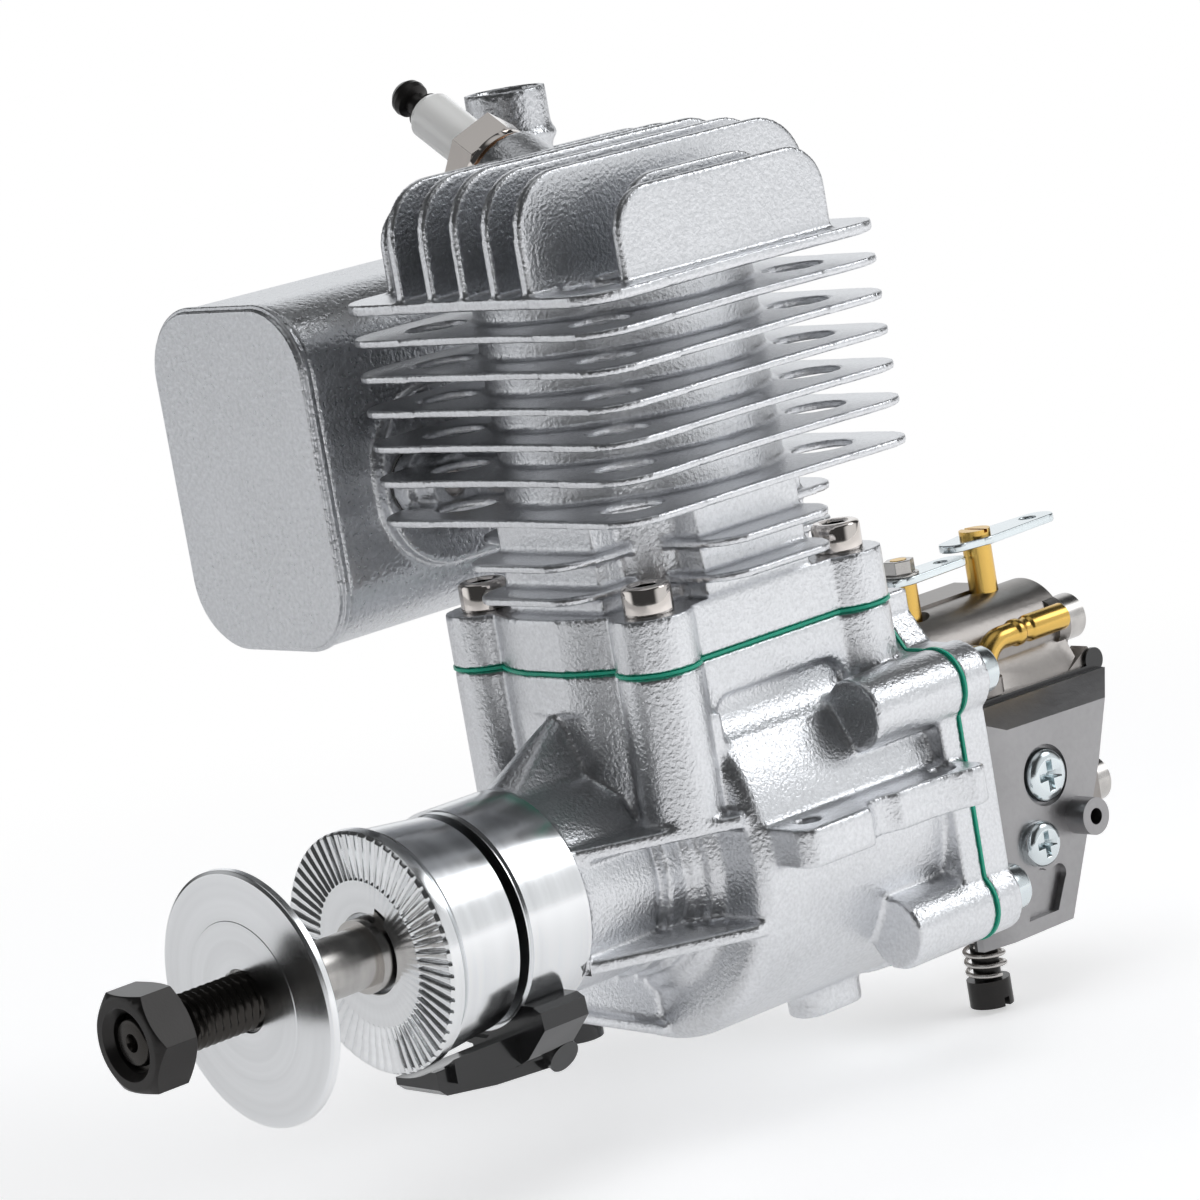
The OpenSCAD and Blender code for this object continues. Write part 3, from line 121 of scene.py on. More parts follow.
lamp("lamp_above", (0.10, -0.05, 0.85), 0.75, 2.1)
lamp("lamp_right", (0.70, 0.55, 0.45), 0.45, 1.2)
lamp("lamp_left", (-0.60, -0.85, 0.40), 0.45, 1.6)

FLOOR_Z = -0.0485
FLOOR_HALF = 6
floor_corners = [(x * FLOOR_HALF, y * FLOOR_HALF, FLOOR_Z) for x, y in ((-1, -1), (1, -1), (1, 1), (-1, 1))]
floor_mesh = bpy.data.meshes.new("floor")
floor_mesh.from_pydata(floor_corners, [], [(0, 1, 2, 3)])
floor = bpy.data.objects.new("floor", floor_mesh)
bpy.context.scene.collection.objects.link(floor)
print("lamps:", len(bpy.data.lights), "and a floor at", FLOOR_Z)

# %% [markdown]
# The world is seen by mirrors as much as by the camera. Bright metal looks like metal only when part of what
# it mirrors is dark, so the studio is a dim room with a few soft white walls: a wide one on the right, a
# small bright one high behind it, one behind the engine, one on the left and a weak one overhead. The camera
# itself sees plain white.


# %% Helpers for node trees
def link(tree, a, b):
    tree.links.new(a, b)


def math_node(tree, operation, a, b=None, c=None):
    """A Math node whose inputs are sockets or numbers; gives its output."""
    node = tree.nodes.new("ShaderNodeMath")
    node.operation = operation
    for slot, value in enumerate((a, b, c)):
        if value is None:
            continue
        if isinstance(value, (int, float)):
            node.inputs[slot].default_value = value
        else:
            link(tree, value, node.inputs[slot])
    return node.outputs[0]


def ramped(tree, value, low, high, to_low, to_high, smooth=False):
    """A Map Range node from one span of numbers to another; gives its output."""
    node = tree.nodes.new("ShaderNodeMapRange")
    node.interpolation_type = "SMOOTHSTEP" if smooth else "LINEAR"
    for label, number in (("From Min", low), ("From Max", high), ("To Min", to_low), ("To Max", to_high)):
        node.inputs[label].default_value = number
    link(tree, value, node.inputs["Value"])
    return node.outputs["Result"]


def along(tree, where, direction):
    """How far a vector points along a direction."""
    node = tree.nodes.new("ShaderNodeVectorMath")
    node.operation = "DOT_PRODUCT"
    node.inputs[1].default_value = Vector(direction).normalized()
    link(tree, where, node.inputs[0])
    return node.outputs["Value"]


# %% World and view
ROOM_LEVEL = 0.05
# Each wall: its direction, the angles in degrees where it is full and where it ends, and its level
WALLS = (
    ((0.50, 0.64, 0.60), 7, 17, 3.0),
    ((0.80, 0.60, -0.05), 22, 48, 0.74),
    ((-0.70, 0.68, 0.22), 12, 38, 0.95),
    ((-0.78, -0.62, 0.02), 10, 36, 0.90),
    ((0.10, 0.05, 1.0), 8, 30, 0.50),
)
world = bpy.data.worlds.new("studio")
bpy.context.scene.world = world
world.use_nodes = True
world_tree = world.node_tree
world_tree.nodes.clear()
world_out = world_tree.nodes.new("ShaderNodeOutputWorld")
white_sky = world_tree.nodes.new("ShaderNodeBackground")
lit_room = world_tree.nodes.new("ShaderNodeBackground")
sky_mix = world_tree.nodes.new("ShaderNodeMixShader")
sky_path = world_tree.nodes.new("ShaderNodeLightPath")
sky_place = world_tree.nodes.new("ShaderNodeTexCoord")
room = ROOM_LEVEL
for direction, inner, outer, level in WALLS:
    facing = along(world_tree, sky_place.outputs["Generated"], direction)
    edge = math.cos(math.radians(outer))
    middle = math.cos(math.radians(inner))
    wall = ramped(world_tree, facing, edge, middle, 0, level, smooth=True)
    room = math_node(world_tree, "ADD", wall, room)
white_sky.inputs["Color"].default_value = (1, 1, 1, 1)
lit_room.inputs["Color"].default_value = (0.97, 0.985, 1, 1)
link(world_tree, room, lit_room.inputs["Strength"])
link(world_tree, sky_path.outputs["Is Camera Ray"], sky_mix.inputs["Fac"])
link(world_tree, lit_room.outputs[0], sky_mix.inputs[1])
link(world_tree, white_sky.outputs[0], sky_mix.inputs[2])
link(world_tree, sky_mix.outputs[0], world_out.inputs["Surface"])
bpy.context.scene.view_settings.view_transform = "Standard"
print("white walls in the room:", len(WALLS))

# %% [markdown]
# ## Finishes
#
# Two effects come back on many parts, so each is a node group: a cast grain, which also has a slow cloudiness
# for the colour, and the fine rings that a lathe leaves round the crankshaft's axis. Each material sets its
# own scale and strength. Both read Object coordinates, which on these parts are metres in the engine's own
# frame, so the pattern stays on a part when the part moves.


# %% A new shader group
def new_group(name, inputs, outputs):
    """An empty shader group with named sockets: (name, kind, default)."""
    group = bpy.data.node_groups.new(name, "ShaderNodeTree")
    for label, kind, default in inputs:
        socket = group.interface.new_socket(label, in_out="INPUT", socket_type=kind)
        socket.default_value = default
    for label, kind in outputs:
        group.interface.new_socket(label, in_out="OUTPUT", socket_type=kind)
    return group, group.nodes.new("NodeGroupInput"), group.nodes.new("NodeGroupOutput")


NUMBER = "NodeSocketFloat"


# %% Cast grain
GRIT_FINENESS = 2.7


def make_cast_grain():
    """Height of a sand-cast or bead-blasted skin: soft dimples with a fine grit on top."""
    group, source, sink = new_group("cast grain",
                                    [("Grain per metre", NUMBER, 900.0), ("Grit", NUMBER, 0.35)],
                                    [("Height", NUMBER), ("Cloud", NUMBER)])
    where = group.nodes.new("ShaderNodeTexCoord")
    dimples = group.nodes.new("ShaderNodeTexNoise")
    dimples.inputs["Detail"].default_value = 2.0
    grit = group.nodes.new("ShaderNodeTexNoise")
    grit.inputs["Detail"].default_value = 3.0
    cloud = group.nodes.new("ShaderNodeTexNoise")
    cloud.inputs["Scale"].default_value = 70.0
    for tex in (dimples, grit, cloud):
        link(group, where.outputs["Object"], tex.inputs["Vector"])
    link(group, source.outputs["Grain per metre"], dimples.inputs["Scale"])
    finer = math_node(group, "MULTIPLY", source.outputs["Grain per metre"], GRIT_FINENESS)
    link(group, finer, grit.inputs["Scale"])
    fine = math_node(group, "MULTIPLY", grit.outputs["Fac"], source.outputs["Grit"])
    link(group, math_node(group, "ADD", dimples.outputs["Fac"], fine), sink.inputs["Height"])
    link(group, cloud.outputs["Fac"], sink.inputs["Cloud"])
    return group


GRAIN = make_cast_grain()
print("group:", GRAIN.name)


# %% Lathe rings
def make_lathe_rings():
    """Fine rings round the crankshaft's axis: the pattern depends on the radius and on the place along Y."""
    group, source, sink = new_group("lathe rings", [("Rings per metre", NUMBER, 9000.0)],
                                    [("Height", NUMBER), ("Streak", NUMBER)])
    where = group.nodes.new("ShaderNodeTexCoord")
    split = group.nodes.new("ShaderNodeSeparateXYZ")
    link(group, where.outputs["Object"], split.inputs[0])
    across = math_node(group, "MULTIPLY", split.outputs["X"], split.outputs["X"])
    upward = math_node(group, "MULTIPLY", split.outputs["Z"], split.outputs["Z"])
    radius = math_node(group, "SQRT", math_node(group, "ADD", across, upward))
    joined = group.nodes.new("ShaderNodeCombineXYZ")
    link(group, radius, joined.inputs["X"])
    link(group, split.outputs["Y"], joined.inputs["Y"])
    fine = group.nodes.new("ShaderNodeTexNoise")
    fine.inputs["Detail"].default_value = 2.0
    broad = group.nodes.new("ShaderNodeTexNoise")
    broad.inputs["Scale"].default_value = 500.0
    broad.inputs["Detail"].default_value = 3.0
    link(group, source.outputs["Rings per metre"], fine.inputs["Scale"])
    for tex in (fine, broad):
        link(group, joined.outputs[0], tex.inputs["Vector"])
    link(group, fine.outputs["Fac"], sink.inputs["Height"])
    link(group, broad.outputs["Fac"], sink.inputs["Streak"])
    return group


RINGS = make_lathe_rings()
print("group:", RINGS.name)

# %% [markdown]
# A finish is a Principled surface plus one of the groups. The recipe below takes the plain numbers of a
# finish, sets them on the shader's own sockets, and lets the group vary colour, roughness and height.


# %% The recipe for a finish
def ramp_between(tree, factor, low, high):
    """A colour ramp from one colour to another, over the span in which a noise has most of its values."""
    ramp = tree.nodes.new("ShaderNodeValToRGB")
    ramp.color_ramp.elements[0].position = 0.3
    ramp.color_ramp.elements[1].position = 0.7
    ramp.color_ramp.elements[0].color = (*low, 1)
    ramp.color_ramp.elements[1].color = (*high, 1)
    link(tree, factor, ramp.inputs["Fac"])
    return ramp.outputs["Color"]


def finish_of(name, colour, metallic, roughness, pattern, inputs, bump, spread=0.04, rough_spread=0.05,
              speck=0.0, coat=0.0, anisotropic=0.0):
    """A material: colour and roughness drift with the pattern, whose fine part is also the bump."""
    material = bpy.data.materials.new(name)
    material.use_nodes = True
    tree = material.node_tree
    shader = tree.nodes["Principled BSDF"]
    shader.inputs["Metallic"].default_value = metallic
    shader.inputs["Coat Weight"].default_value = coat
    shader.inputs["Coat Roughness"].default_value = 0.08
    shader.inputs["Anisotropic"].default_value = anisotropic
    group = tree.nodes.new("ShaderNodeGroup")
    group.node_tree = pattern
    for label, value in inputs.items():
        group.inputs[label].default_value = value
    slow = group.outputs[1]
    fine = math_node(tree, "MULTIPLY", group.outputs["Height"], speck)
    tone = math_node(tree, "MULTIPLY_ADD", slow, 1 - speck, fine)
    dark = [max(0.0, c * (1 - spread)) for c in colour]
    light = [min(1.0, c * (1 + spread)) for c in colour]
    link(tree, ramp_between(tree, tone, dark, light), shader.inputs["Base Color"])
    drift = math_node(tree, "MULTIPLY_ADD", tone, 2 * rough_spread, roughness - rough_spread)
    link(tree, drift, shader.inputs["Roughness"])
    relief = tree.nodes.new("ShaderNodeBump")
    relief.inputs["Strength"].default_value = 1.0
    relief.inputs["Distance"].default_value = bump * MM
    link(tree, group.outputs["Height"], relief.inputs["Height"])
    link(tree, relief.outputs["Normal"], shader.inputs["Normal"])
    if anisotropic:
        around = tree.nodes.new("ShaderNodeTangent")
        around.direction_type = "RADIAL"
        around.axis = "Y"
        link(tree, around.outputs[0], shader.inputs["Tangent"])
    return material


finishes = {
    "cast_aluminium": finish_of("cast_aluminium", (0.75, 0.76, 0.78), 1.0, 0.30, GRAIN,
                                {"Grain per metre": 1600, "Grit": 0.12}, 0.15, spread=0.11, speck=0.75),
    "blasted_sheet": finish_of("blasted_sheet", (0.66, 0.67, 0.69), 1.0, 0.28, GRAIN,
                               {"Grain per metre": 1200, "Grit": 0.16}, 0.20, spread=0.12, speck=0.8),
    "turned_aluminium": finish_of("turned_aluminium", (0.86, 0.87, 0.88), 1.0, 0.17, RINGS,
                                  {"Rings per metre": 5000}, 0.006, spread=0.05, anisotropic=0.6),
    "ground_steel": finish_of("ground_steel", (0.56, 0.54, 0.52), 1.0, 0.24, RINGS,
                              {"Rings per metre": 6000}, 0.004, spread=0.08),
    "zinc_plate": finish_of("zinc_plate", (0.74, 0.80, 0.82), 1.0, 0.18, GRAIN,
                            {"Grain per metre": 900, "Grit": 0.2}, 0.006, spread=0.06),
    "dark_nickel": finish_of("dark_nickel", (0.74, 0.69, 0.65), 1.0, 0.07, GRAIN,
                             {"Grain per metre": 500, "Grit": 0.2}, 0.002, spread=0.04, rough_spread=0.02),
    "black_oxide": finish_of("black_oxide", (0.030, 0.028, 0.027), 0.6, 0.30, GRAIN,
                             {"Grain per metre": 2200, "Grit": 0.5}, 0.010, spread=0.25),
    "blackened_thread": finish_of("blackened_thread", (0.052, 0.048, 0.044), 0.9, 0.26, GRAIN,
                                  {"Grain per metre": 1500, "Grit": 0.3}, 0.006, spread=0.15),
    "green_gasket": finish_of("green_gasket", (0.015, 0.50, 0.32), 0.0, 0.35, GRAIN,
                              {"Grain per metre": 2500, "Grit": 0.6}, 0.01, spread=0.1),
    "zinc_casting": finish_of("zinc_casting", (0.33, 0.31, 0.295), 1.0, 0.34, GRAIN,
                              {"Grain per metre": 700, "Grit": 0.5}, 0.035, spread=0.14,
                              rough_spread=0.10, speck=0.3),
    "cover_casting": finish_of("cover_casting", (0.37, 0.365, 0.37), 1.0, 0.33, GRAIN,
                               {"Grain per metre": 700, "Grit": 0.5}, 0.03, spread=0.10,
                               rough_spread=0.08, speck=0.3),
    "black_plastic": finish_of("black_plastic", (0.012, 0.012, 0.013), 0.0, 0.20, GRAIN,
                               {"Grain per metre": 1800, "Grit": 0.3}, 0.006, spread=0.2, coat=0.3),
    "brass": finish_of("brass", (0.76, 0.49, 0.13), 1.0, 0.24, GRAIN,
                       {"Grain per metre": 500, "Grit": 0.2}, 0.002, spread=0.06),
    "copper": finish_of("copper", (0.72, 0.43, 0.26), 1.0, 0.28, GRAIN,
                        {"Grain per metre": 500, "Grit": 0.2}, 0.004, spread=0.08),
    "white_ceramic": finish_of("white_ceramic", (0.96, 0.96, 0.945), 0.0, 0.14, GRAIN,
                               {"Grain per metre": 300, "Grit": 0.1}, 0.002, spread=0.01, coat=0.6),
    "brown_phenolic": finish_of("brown_phenolic", (0.10, 0.05, 0.03), 0.0, 0.40, GRAIN,
                                {"Grain per metre": 1400, "Grit": 0.6}, 0.01, spread=0.2),
    "grey_fibre": finish_of("grey_fibre", (0.18, 0.18, 0.18), 0.1, 0.6, GRAIN,
                            {"Grain per metre": 2200, "Grit": 0.6}, 0.02, spread=0.15),
    "ring_iron": finish_of("ring_iron", (0.20, 0.20, 0.21), 0.9, 0.35, GRAIN,
                           {"Grain per metre": 900, "Grit": 0.3}, 0.004, spread=0.1),
}
finish_for_slot = {"plated_screw": "dark_nickel"}
finish_for_node = {"side_cover": "cover_casting", "plug_washer": "copper", "throttle_lever": "zinc_plate",
                   "choke_lever": "zinc_plate", "muffler_body": "blasted_sheet",
                   "muffler_cap": "blasted_sheet"}
print("finishes:", len(finishes))

# %% [markdown]
# The floor is matt and pale. Near the engine it keeps the shadow, and further out it fades to plain white for
# the camera, so that no horizon shows. Bright metal mirrors the floor too, so for mirrored rays it glows a
# little: more on the right and less on the left, which gives the turned faces their light and dark sides.

# %% Floor finish
FLOOR_LIT_RADIUS = 0.16
FLOOR_WHITE_RADIUS = 0.42
FLOOR_GLOW = 0.50
MIRRORED_GLOW = 0.62
MIRRORED_TOWARDS = (0.76, 0.65, 0)
MIRRORED_FROM = -0.25
MIRRORED_TO = 0.40
floor_paint = bpy.data.materials.new("floor_paint")
floor_paint.use_nodes = True
floor_tree = floor_paint.node_tree
floor_shader = floor_tree.nodes["Principled BSDF"]
floor_shader.inputs["Roughness"].default_value = 0.9
floor_shader.inputs["Specular IOR Level"].default_value = 0.1
floor_shader.inputs["Base Color"].default_value = (0.82, 0.82, 0.83, 1)
floor_shader.inputs["Emission Color"].default_value = (1, 1, 1, 1)
floor_out = floor_tree.nodes["Material Output"]
floor_place = floor_tree.nodes.new("ShaderNodeTexCoord")
floor_reach = floor_tree.nodes.new("ShaderNodeVectorMath")
floor_reach.operation = "LENGTH"
link(floor_tree, floor_place.outputs["Object"], floor_reach.inputs[0])
floor_fade = ramped(floor_tree, floor_reach.outputs["Value"], FLOOR_LIT_RADIUS, FLOOR_WHITE_RADIUS, 0, 1,
                    smooth=True)
floor_path = floor_tree.nodes.new("ShaderNodeLightPath")
floor_side = along(floor_tree, floor_place.outputs["Object"], MIRRORED_TOWARDS)
floor_bright = ramped(floor_tree, floor_side, MIRRORED_FROM, MIRRORED_TO, MIRRORED_GLOW / 3, MIRRORED_GLOW)
seen_glow = math_node(floor_tree, "MULTIPLY", floor_path.outputs["Is Camera Ray"], FLOOR_GLOW)
mirror_glow = math_node(floor_tree, "MULTIPLY", floor_path.outputs["Is Glossy Ray"], floor_bright)
floor_glow = math_node(floor_tree, "ADD", seen_glow, mirror_glow)
link(floor_tree, floor_glow, floor_shader.inputs["Emission Strength"])
floor_white = floor_tree.nodes.new("ShaderNodeEmission")
floor_mix = floor_tree.nodes.new("ShaderNodeMixShader")
seen = math_node(floor_tree, "MULTIPLY", floor_path.outputs["Is Camera Ray"], floor_fade)
link(floor_tree, seen, floor_mix.inputs["Fac"])
link(floor_tree, floor_shader.outputs[0], floor_mix.inputs[1])
link(floor_tree, floor_white.outputs[0], floor_mix.inputs[2])
link(floor_tree, floor_mix.outputs[0], floor_out.inputs["Surface"])
floor_mesh.materials.append(floor_paint)
print("floor is white beyond", FLOOR_WHITE_RADIUS, "m")

# %% [markdown]
# Every part of the frame takes the finish of its slot, apart from the few that have one of their own. Parts
# inside, and plain ones such as gaskets and shafts, keep the frame's mesh and get nothing else. The others
# are made again in the next steps, and a new mesh is shaded smooth up to an angle, so that a curve looks
# round and an edge stays an edge.

# %% Finishes on the frame's parts
def finish_named(node):
    """The finish of a part: its own, or that of its slot in the record."""
    slot = slot_of[node]
    return finishes[finish_for_node.get(node, finish_for_slot.get(slot, slot))]


def shade(mesh, degrees):
    """Smooth shading, in which an edge that bends by more than so many degrees stays sharp."""
    mesh.polygons.foreach_set("use_smooth", [True] * len(mesh.polygons))
    mesh.set_sharp_from_angle(angle=math.radians(degrees))
    mesh.update()


for node, obj in nodes.items():
    obj.data.materials.clear()
    obj.data.materials.append(finish_named(node))
print("parts with a finish:", len(nodes))

# %% [markdown]
# ## Soft cast corners
#
# A casting has no sharp edge: the sand or the die rounds every corner and fills every notch. The frame's
# part is merged, turned into an even skin of small squares, and relaxed, so that the same step rounds the
# outer edges and fills the inner ones. The turned nose is cut from another copy, so it stays crisp, and the
# bore is put back to its true radius afterwards.


# %% Helpers for meshes
def merged_copy(node, name):
    """A copy of a frame part with its loose triangles joined and its flat faces whole."""
    mesh = nodes[node].data.copy()
    mesh.name = name
    bm = bmesh.new()
    bm.from_mesh(mesh)
    bmesh.ops.remove_doubles(bm, verts=bm.verts, dist=2e-6)
    bmesh.ops.dissolve_limit(bm, angle_limit=math.radians(0.6), verts=bm.verts, edges=bm.edges)
    bm.to_mesh(mesh)
    bm.free()
    return mesh


def add_piece(name, mesh, body, material, stands_for=()):
    """A finished piece at the origin, riding on its body."""
    mesh.materials.clear()
    mesh.materials.append(material)
    piece = bpy.data.objects.new(name, mesh)
    bpy.context.scene.collection.objects.link(piece)
    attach(piece, body)
    if stands_for:
        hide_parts(*stands_for)
    return piece


def baked(obj):
    """Applies all modifiers of an object and gives its mesh."""
    bpy.context.view_layer.update()
    graph = bpy.context.evaluated_depsgraph_get()
    mesh = bpy.data.meshes.new_from_object(obj.evaluated_get(graph))
    obj.modifiers.clear()
    return mesh


def through_modifiers(mesh, settings):
    """Runs a mesh through a list of (kind, values) modifiers."""
    holder = bpy.data.objects.new("in_work", mesh)
    bpy.context.scene.collection.objects.link(holder)
    for kind, values in settings:
        modifier = holder.modifiers.new(kind.lower(), kind)
        for key, value in values.items():
            setattr(modifier, key, value)
    result = baked(holder)
    bpy.data.objects.remove(holder)
    return result


def triangles(mesh):
    """How many triangles a mesh holds."""
    return sum(len(p.vertices) - 2 for p in mesh.polygons)


MOST_TRIANGLES = 180000


def cast_skin(mesh, voxel, rounds, name):
    """A soft cast skin: even squares, relaxed, then thinned where it is flat."""
    skin = through_modifiers(mesh, [("REMESH", {"mode": "VOXEL", "voxel_size": voxel * MM})])
    skin = through_modifiers(skin, [("SMOOTH", {"factor": 0.5, "iterations": rounds})])
    count = triangles(skin)
    if count > MOST_TRIANGLES:
        skin = through_modifiers(skin, [("DECIMATE", {"ratio": MOST_TRIANGLES / count})])
    skin.name = name
    skin.polygons.foreach_set("use_smooth", [True] * len(skin.polygons))
    print(name, count, "->", triangles(skin))
    return skin


# %% Cutting a mesh along a plane across the crankshaft
def cut_at(mesh, y, keep_front):
    """Keeps the part in front of a plane (towards the propeller) or behind it, and closes the cut."""
    bm = bmesh.new()
    bm.from_mesh(mesh)
    whole = bm.verts[:] + bm.edges[:] + bm.faces[:]
    cut = bmesh.ops.bisect_plane(bm, geom=whole, plane_co=(0, y * MM, 0), plane_no=(0, 1, 0),
                                 clear_outer=keep_front, clear_inner=not keep_front)
    rim = [e for e in cut["geom_cut"] if isinstance(e, bmesh.types.BMEdge) and e.is_boundary]
    bmesh.ops.triangle_fill(bm, use_beauty=True, edges=rim, normal=(0, 1 if keep_front else -1, 0))
    bm.to_mesh(mesh)
    bm.free()
    return mesh


# %% Keeping a bore true
def honed(mesh, radius, low, high):
    """Moves the wall's points that came inside the bore back out to it. Points near the axis stay."""
    for vert in mesh.vertices:
        reach = math.hypot(vert.co.x, vert.co.y)
        if low < vert.co.z < high and 0.5 * radius < reach < radius:
            vert.co.x *= radius / reach
            vert.co.y *= radius / reach
    mesh.update()


# %% The castings
# The bore's radius and its two ends, and where the crankcase's collar ends and its skin begins
BORE = 17.08 * MM
BORE_LOW = 27 * MM
BORE_HIGH = 87 * MM
COLLAR_END = -44.45
SKIN_END = -45.0
# Each casting: the size of its skin's squares in millimetres, and how often the skin is relaxed
SKINS = {"crankcase": (0.5, 10), "rear_cover": (0.45, 6), "muffler_body": (0.6, 3), "cylinder": (0.5, 2)}
for node, (voxel, rounds) in SKINS.items():
    skin = cast_skin(merged_copy(node, node + "_skin"), voxel, rounds, node + "_cast")
    if node == "crankcase":
        cut_at(skin, SKIN_END, keep_front=False)
    if node == "cylinder":
        honed(skin, BORE, BORE_LOW, BORE_HIGH)
    add_piece(node + "_cast", skin, body_with[node], finish_named(node), (node,))

# %% [markdown]
# ## Crisp edges with a small break
#
# Machined and moulded parts keep their exact form, but no real edge is a knife edge. A narrow bevel on a
# merged copy catches a line of light along each edge.


# %% Broken edges
def even_normals(mesh, degrees):
    """Smooth shading in which the large flat faces stay flat and only the narrow bevels bend the light."""
    shade(mesh, degrees)
    return through_modifiers(mesh, [("WEIGHTED_NORMAL", {"keep_sharp": True})])


def broken_edges(node, width):
    """The frame's part again, with its edges broken by a narrow bevel."""
    mesh = merged_copy(node, node + "_edges")
    bevel = {"width": width * MM, "segments": 2, "limit_method": "ANGLE", "angle_limit": math.radians(35),
             "use_clamp_overlap": True, "miter_outer": "MITER_ARC"}
    mesh = even_normals(through_modifiers(mesh, [("BEVEL", bevel)]), 50)
    mesh.name = node + "_finished"
    return add_piece(node + "_finished", mesh, body_with[node], finish_named(node), (node,))


# The width of each part's bevel in millimetres
EDGE_WIDTHS = {
    "side_cover": 0.5, "carb_body": 0.5, "metering_cover": 0.4, "carb_insulator": 0.3,
    "throttle_lever": 0.25, "choke_lever": 0.25, "ignition_sensor": 0.4, "muffler_cap": 0.3,
    "prop_nut": 0.35, "spark_plug_shell": 0.2, "throttle_nut": 0.15, "plug_washer": 0.15,
}
for node, width in EDGE_WIDTHS.items():
    broken_edges(node, width)
print("parts with broken edges:", len(EDGE_WIDTHS))

collar = through_modifiers(cut_at(merged_copy("crankcase", "collar_edges"), COLLAR_END, keep_front=True),
                           [("BEVEL", {"width": 0.25 * MM, "segments": 2, "limit_method": "ANGLE",
                                       "angle_limit": math.radians(40)})])
collar = even_normals(collar, 50)
collar.name = "crankcase_collar"
add_piece("crankcase_collar", collar, "engine", finishes["turned_aluminium"],
          ("crankcase",))
print("collar", triangles(collar), "triangles")

# %% [markdown]
# ## Threads, springs and screws
#
# A thread and a spring both follow one rule: a shape goes round an axis and climbs by one pitch each turn.
# Screws are one head, set down many times. All three are work for Geometry Nodes: the tree holds the rule,
# and each piece only gives its own sizes.


# %% Running a tree
def new_tree(name, inputs):
    """An empty Geometry Nodes tree with named inputs: (name, kind, default)."""
    tree = bpy.data.node_groups.new(name, "GeometryNodeTree")
    tree.interface.new_socket("Geometry", in_out="INPUT", socket_type="NodeSocketGeometry")
    for label, kind, default in inputs:
        socket = tree.interface.new_socket(label, in_out="INPUT", socket_type=kind)
        if default is not None:
            socket.default_value = default
    tree.interface.new_socket("Geometry", in_out="OUTPUT", socket_type="NodeSocketGeometry")
    return tree, tree.nodes.new("NodeGroupInput"), tree.nodes.new("NodeGroupOutput")


def finish_tree(tree, source, sink, shape):
    """The last steps of every tree: real geometry and a material."""
    real = tree.nodes.new("GeometryNodeRealizeInstances")
    paint = tree.nodes.new("GeometryNodeSetMaterial")
    link(tree, shape, real.inputs["Geometry"])
    link(tree, real.outputs["Geometry"], paint.inputs["Geometry"])
    link(tree, source.outputs["Material"], paint.inputs["Material"])
    link(tree, paint.outputs["Geometry"], sink.inputs["Geometry"])


def grown(name, tree, values, seed=None):
    """Runs a tree on a mesh and gives the plain mesh that comes out."""
    holder = bpy.data.objects.new(name, seed or bpy.data.meshes.new(name + "_seed"))
    bpy.context.scene.collection.objects.link(holder)
    modifier = holder.modifiers.new("grow", "NODES")
    modifier.node_group = tree
    for item in tree.interface.items_tree:
        if item.in_out == "INPUT" and item.name in values:
            modifier[item.identifier] = values[item.name]
    mesh = baked(holder)
    bpy.data.objects.remove(holder)
    mesh.name = name
    print(name, triangles(mesh), "triangles")
    return mesh


VECTOR = "NodeSocketVector"
MATERIAL = ("Material", "NodeSocketMaterial", None)


# %% The cut thread
THREAD_SIDES = 64
ROWS_PER_PITCH = 8


def make_thread_tree():
    """A bar with a V thread: the radius falls and rises once for each pitch along the bar and each turn."""
    tree, source, sink = new_tree("cut thread", [
        ("Radius", NUMBER, 0.005), ("Depth", NUMBER, 0.0007), ("Pitch", NUMBER, 0.0015),
        ("Length", NUMBER, 0.03), ("Centre", VECTOR, (0, 0, 0)), MATERIAL])
    bar = tree.nodes.new("GeometryNodeMeshCylinder")
    bar.inputs["Vertices"].default_value = THREAD_SIDES
    bar.fill_type = "TRIANGLE_FAN"
    pitches = math_node(tree, "DIVIDE", source.outputs["Length"], source.outputs["Pitch"])
    link(tree, math_node(tree, "MULTIPLY", pitches, ROWS_PER_PITCH), bar.inputs["Side Segments"])
    link(tree, source.outputs["Radius"], bar.inputs["Radius"])
    link(tree, source.outputs["Length"], bar.inputs["Depth"])
    where = tree.nodes.new("GeometryNodeInputPosition")
    split = tree.nodes.new("ShaderNodeSeparateXYZ")
    link(tree, where.outputs[0], split.inputs[0])
    angle = math_node(tree, "ARCTAN2", split.outputs["Y"], split.outputs["X"])
    turns = math_node(tree, "DIVIDE", angle, 2 * math.pi)
    steps = math_node(tree, "DIVIDE", split.outputs["Z"], source.outputs["Pitch"])
    phase = math_node(tree, "SUBTRACT", steps, turns)
    wave = math_node(tree, "MULTIPLY", math_node(tree, "PINGPONG", phase, 0.5), 2.0)
    cut = math_node(tree, "DIVIDE", source.outputs["Depth"], source.outputs["Radius"])
    shrink = math_node(tree, "SUBTRACT", 1.0, math_node(tree, "MULTIPLY", wave, cut))
    joined = tree.nodes.new("ShaderNodeCombineXYZ")
    link(tree, math_node(tree, "MULTIPLY", split.outputs["X"], shrink), joined.inputs["X"])
    link(tree, math_node(tree, "MULTIPLY", split.outputs["Y"], shrink), joined.inputs["Y"])
    link(tree, split.outputs["Z"], joined.inputs["Z"])
    move = tree.nodes.new("GeometryNodeSetPosition")
    link(tree, bar.outputs["Mesh"], move.inputs["Geometry"])
    link(tree, joined.outputs[0], move.inputs["Position"])
    lay = tree.nodes.new("GeometryNodeTransform")
    lay.inputs["Rotation"].default_value = (math.radians(90), 0, 0)
    link(tree, move.outputs["Geometry"], lay.inputs["Geometry"])
    link(tree, source.outputs["Centre"], lay.inputs["Translation"])
    finish_tree(tree, source, sink, lay.outputs["Geometry"])
    return tree


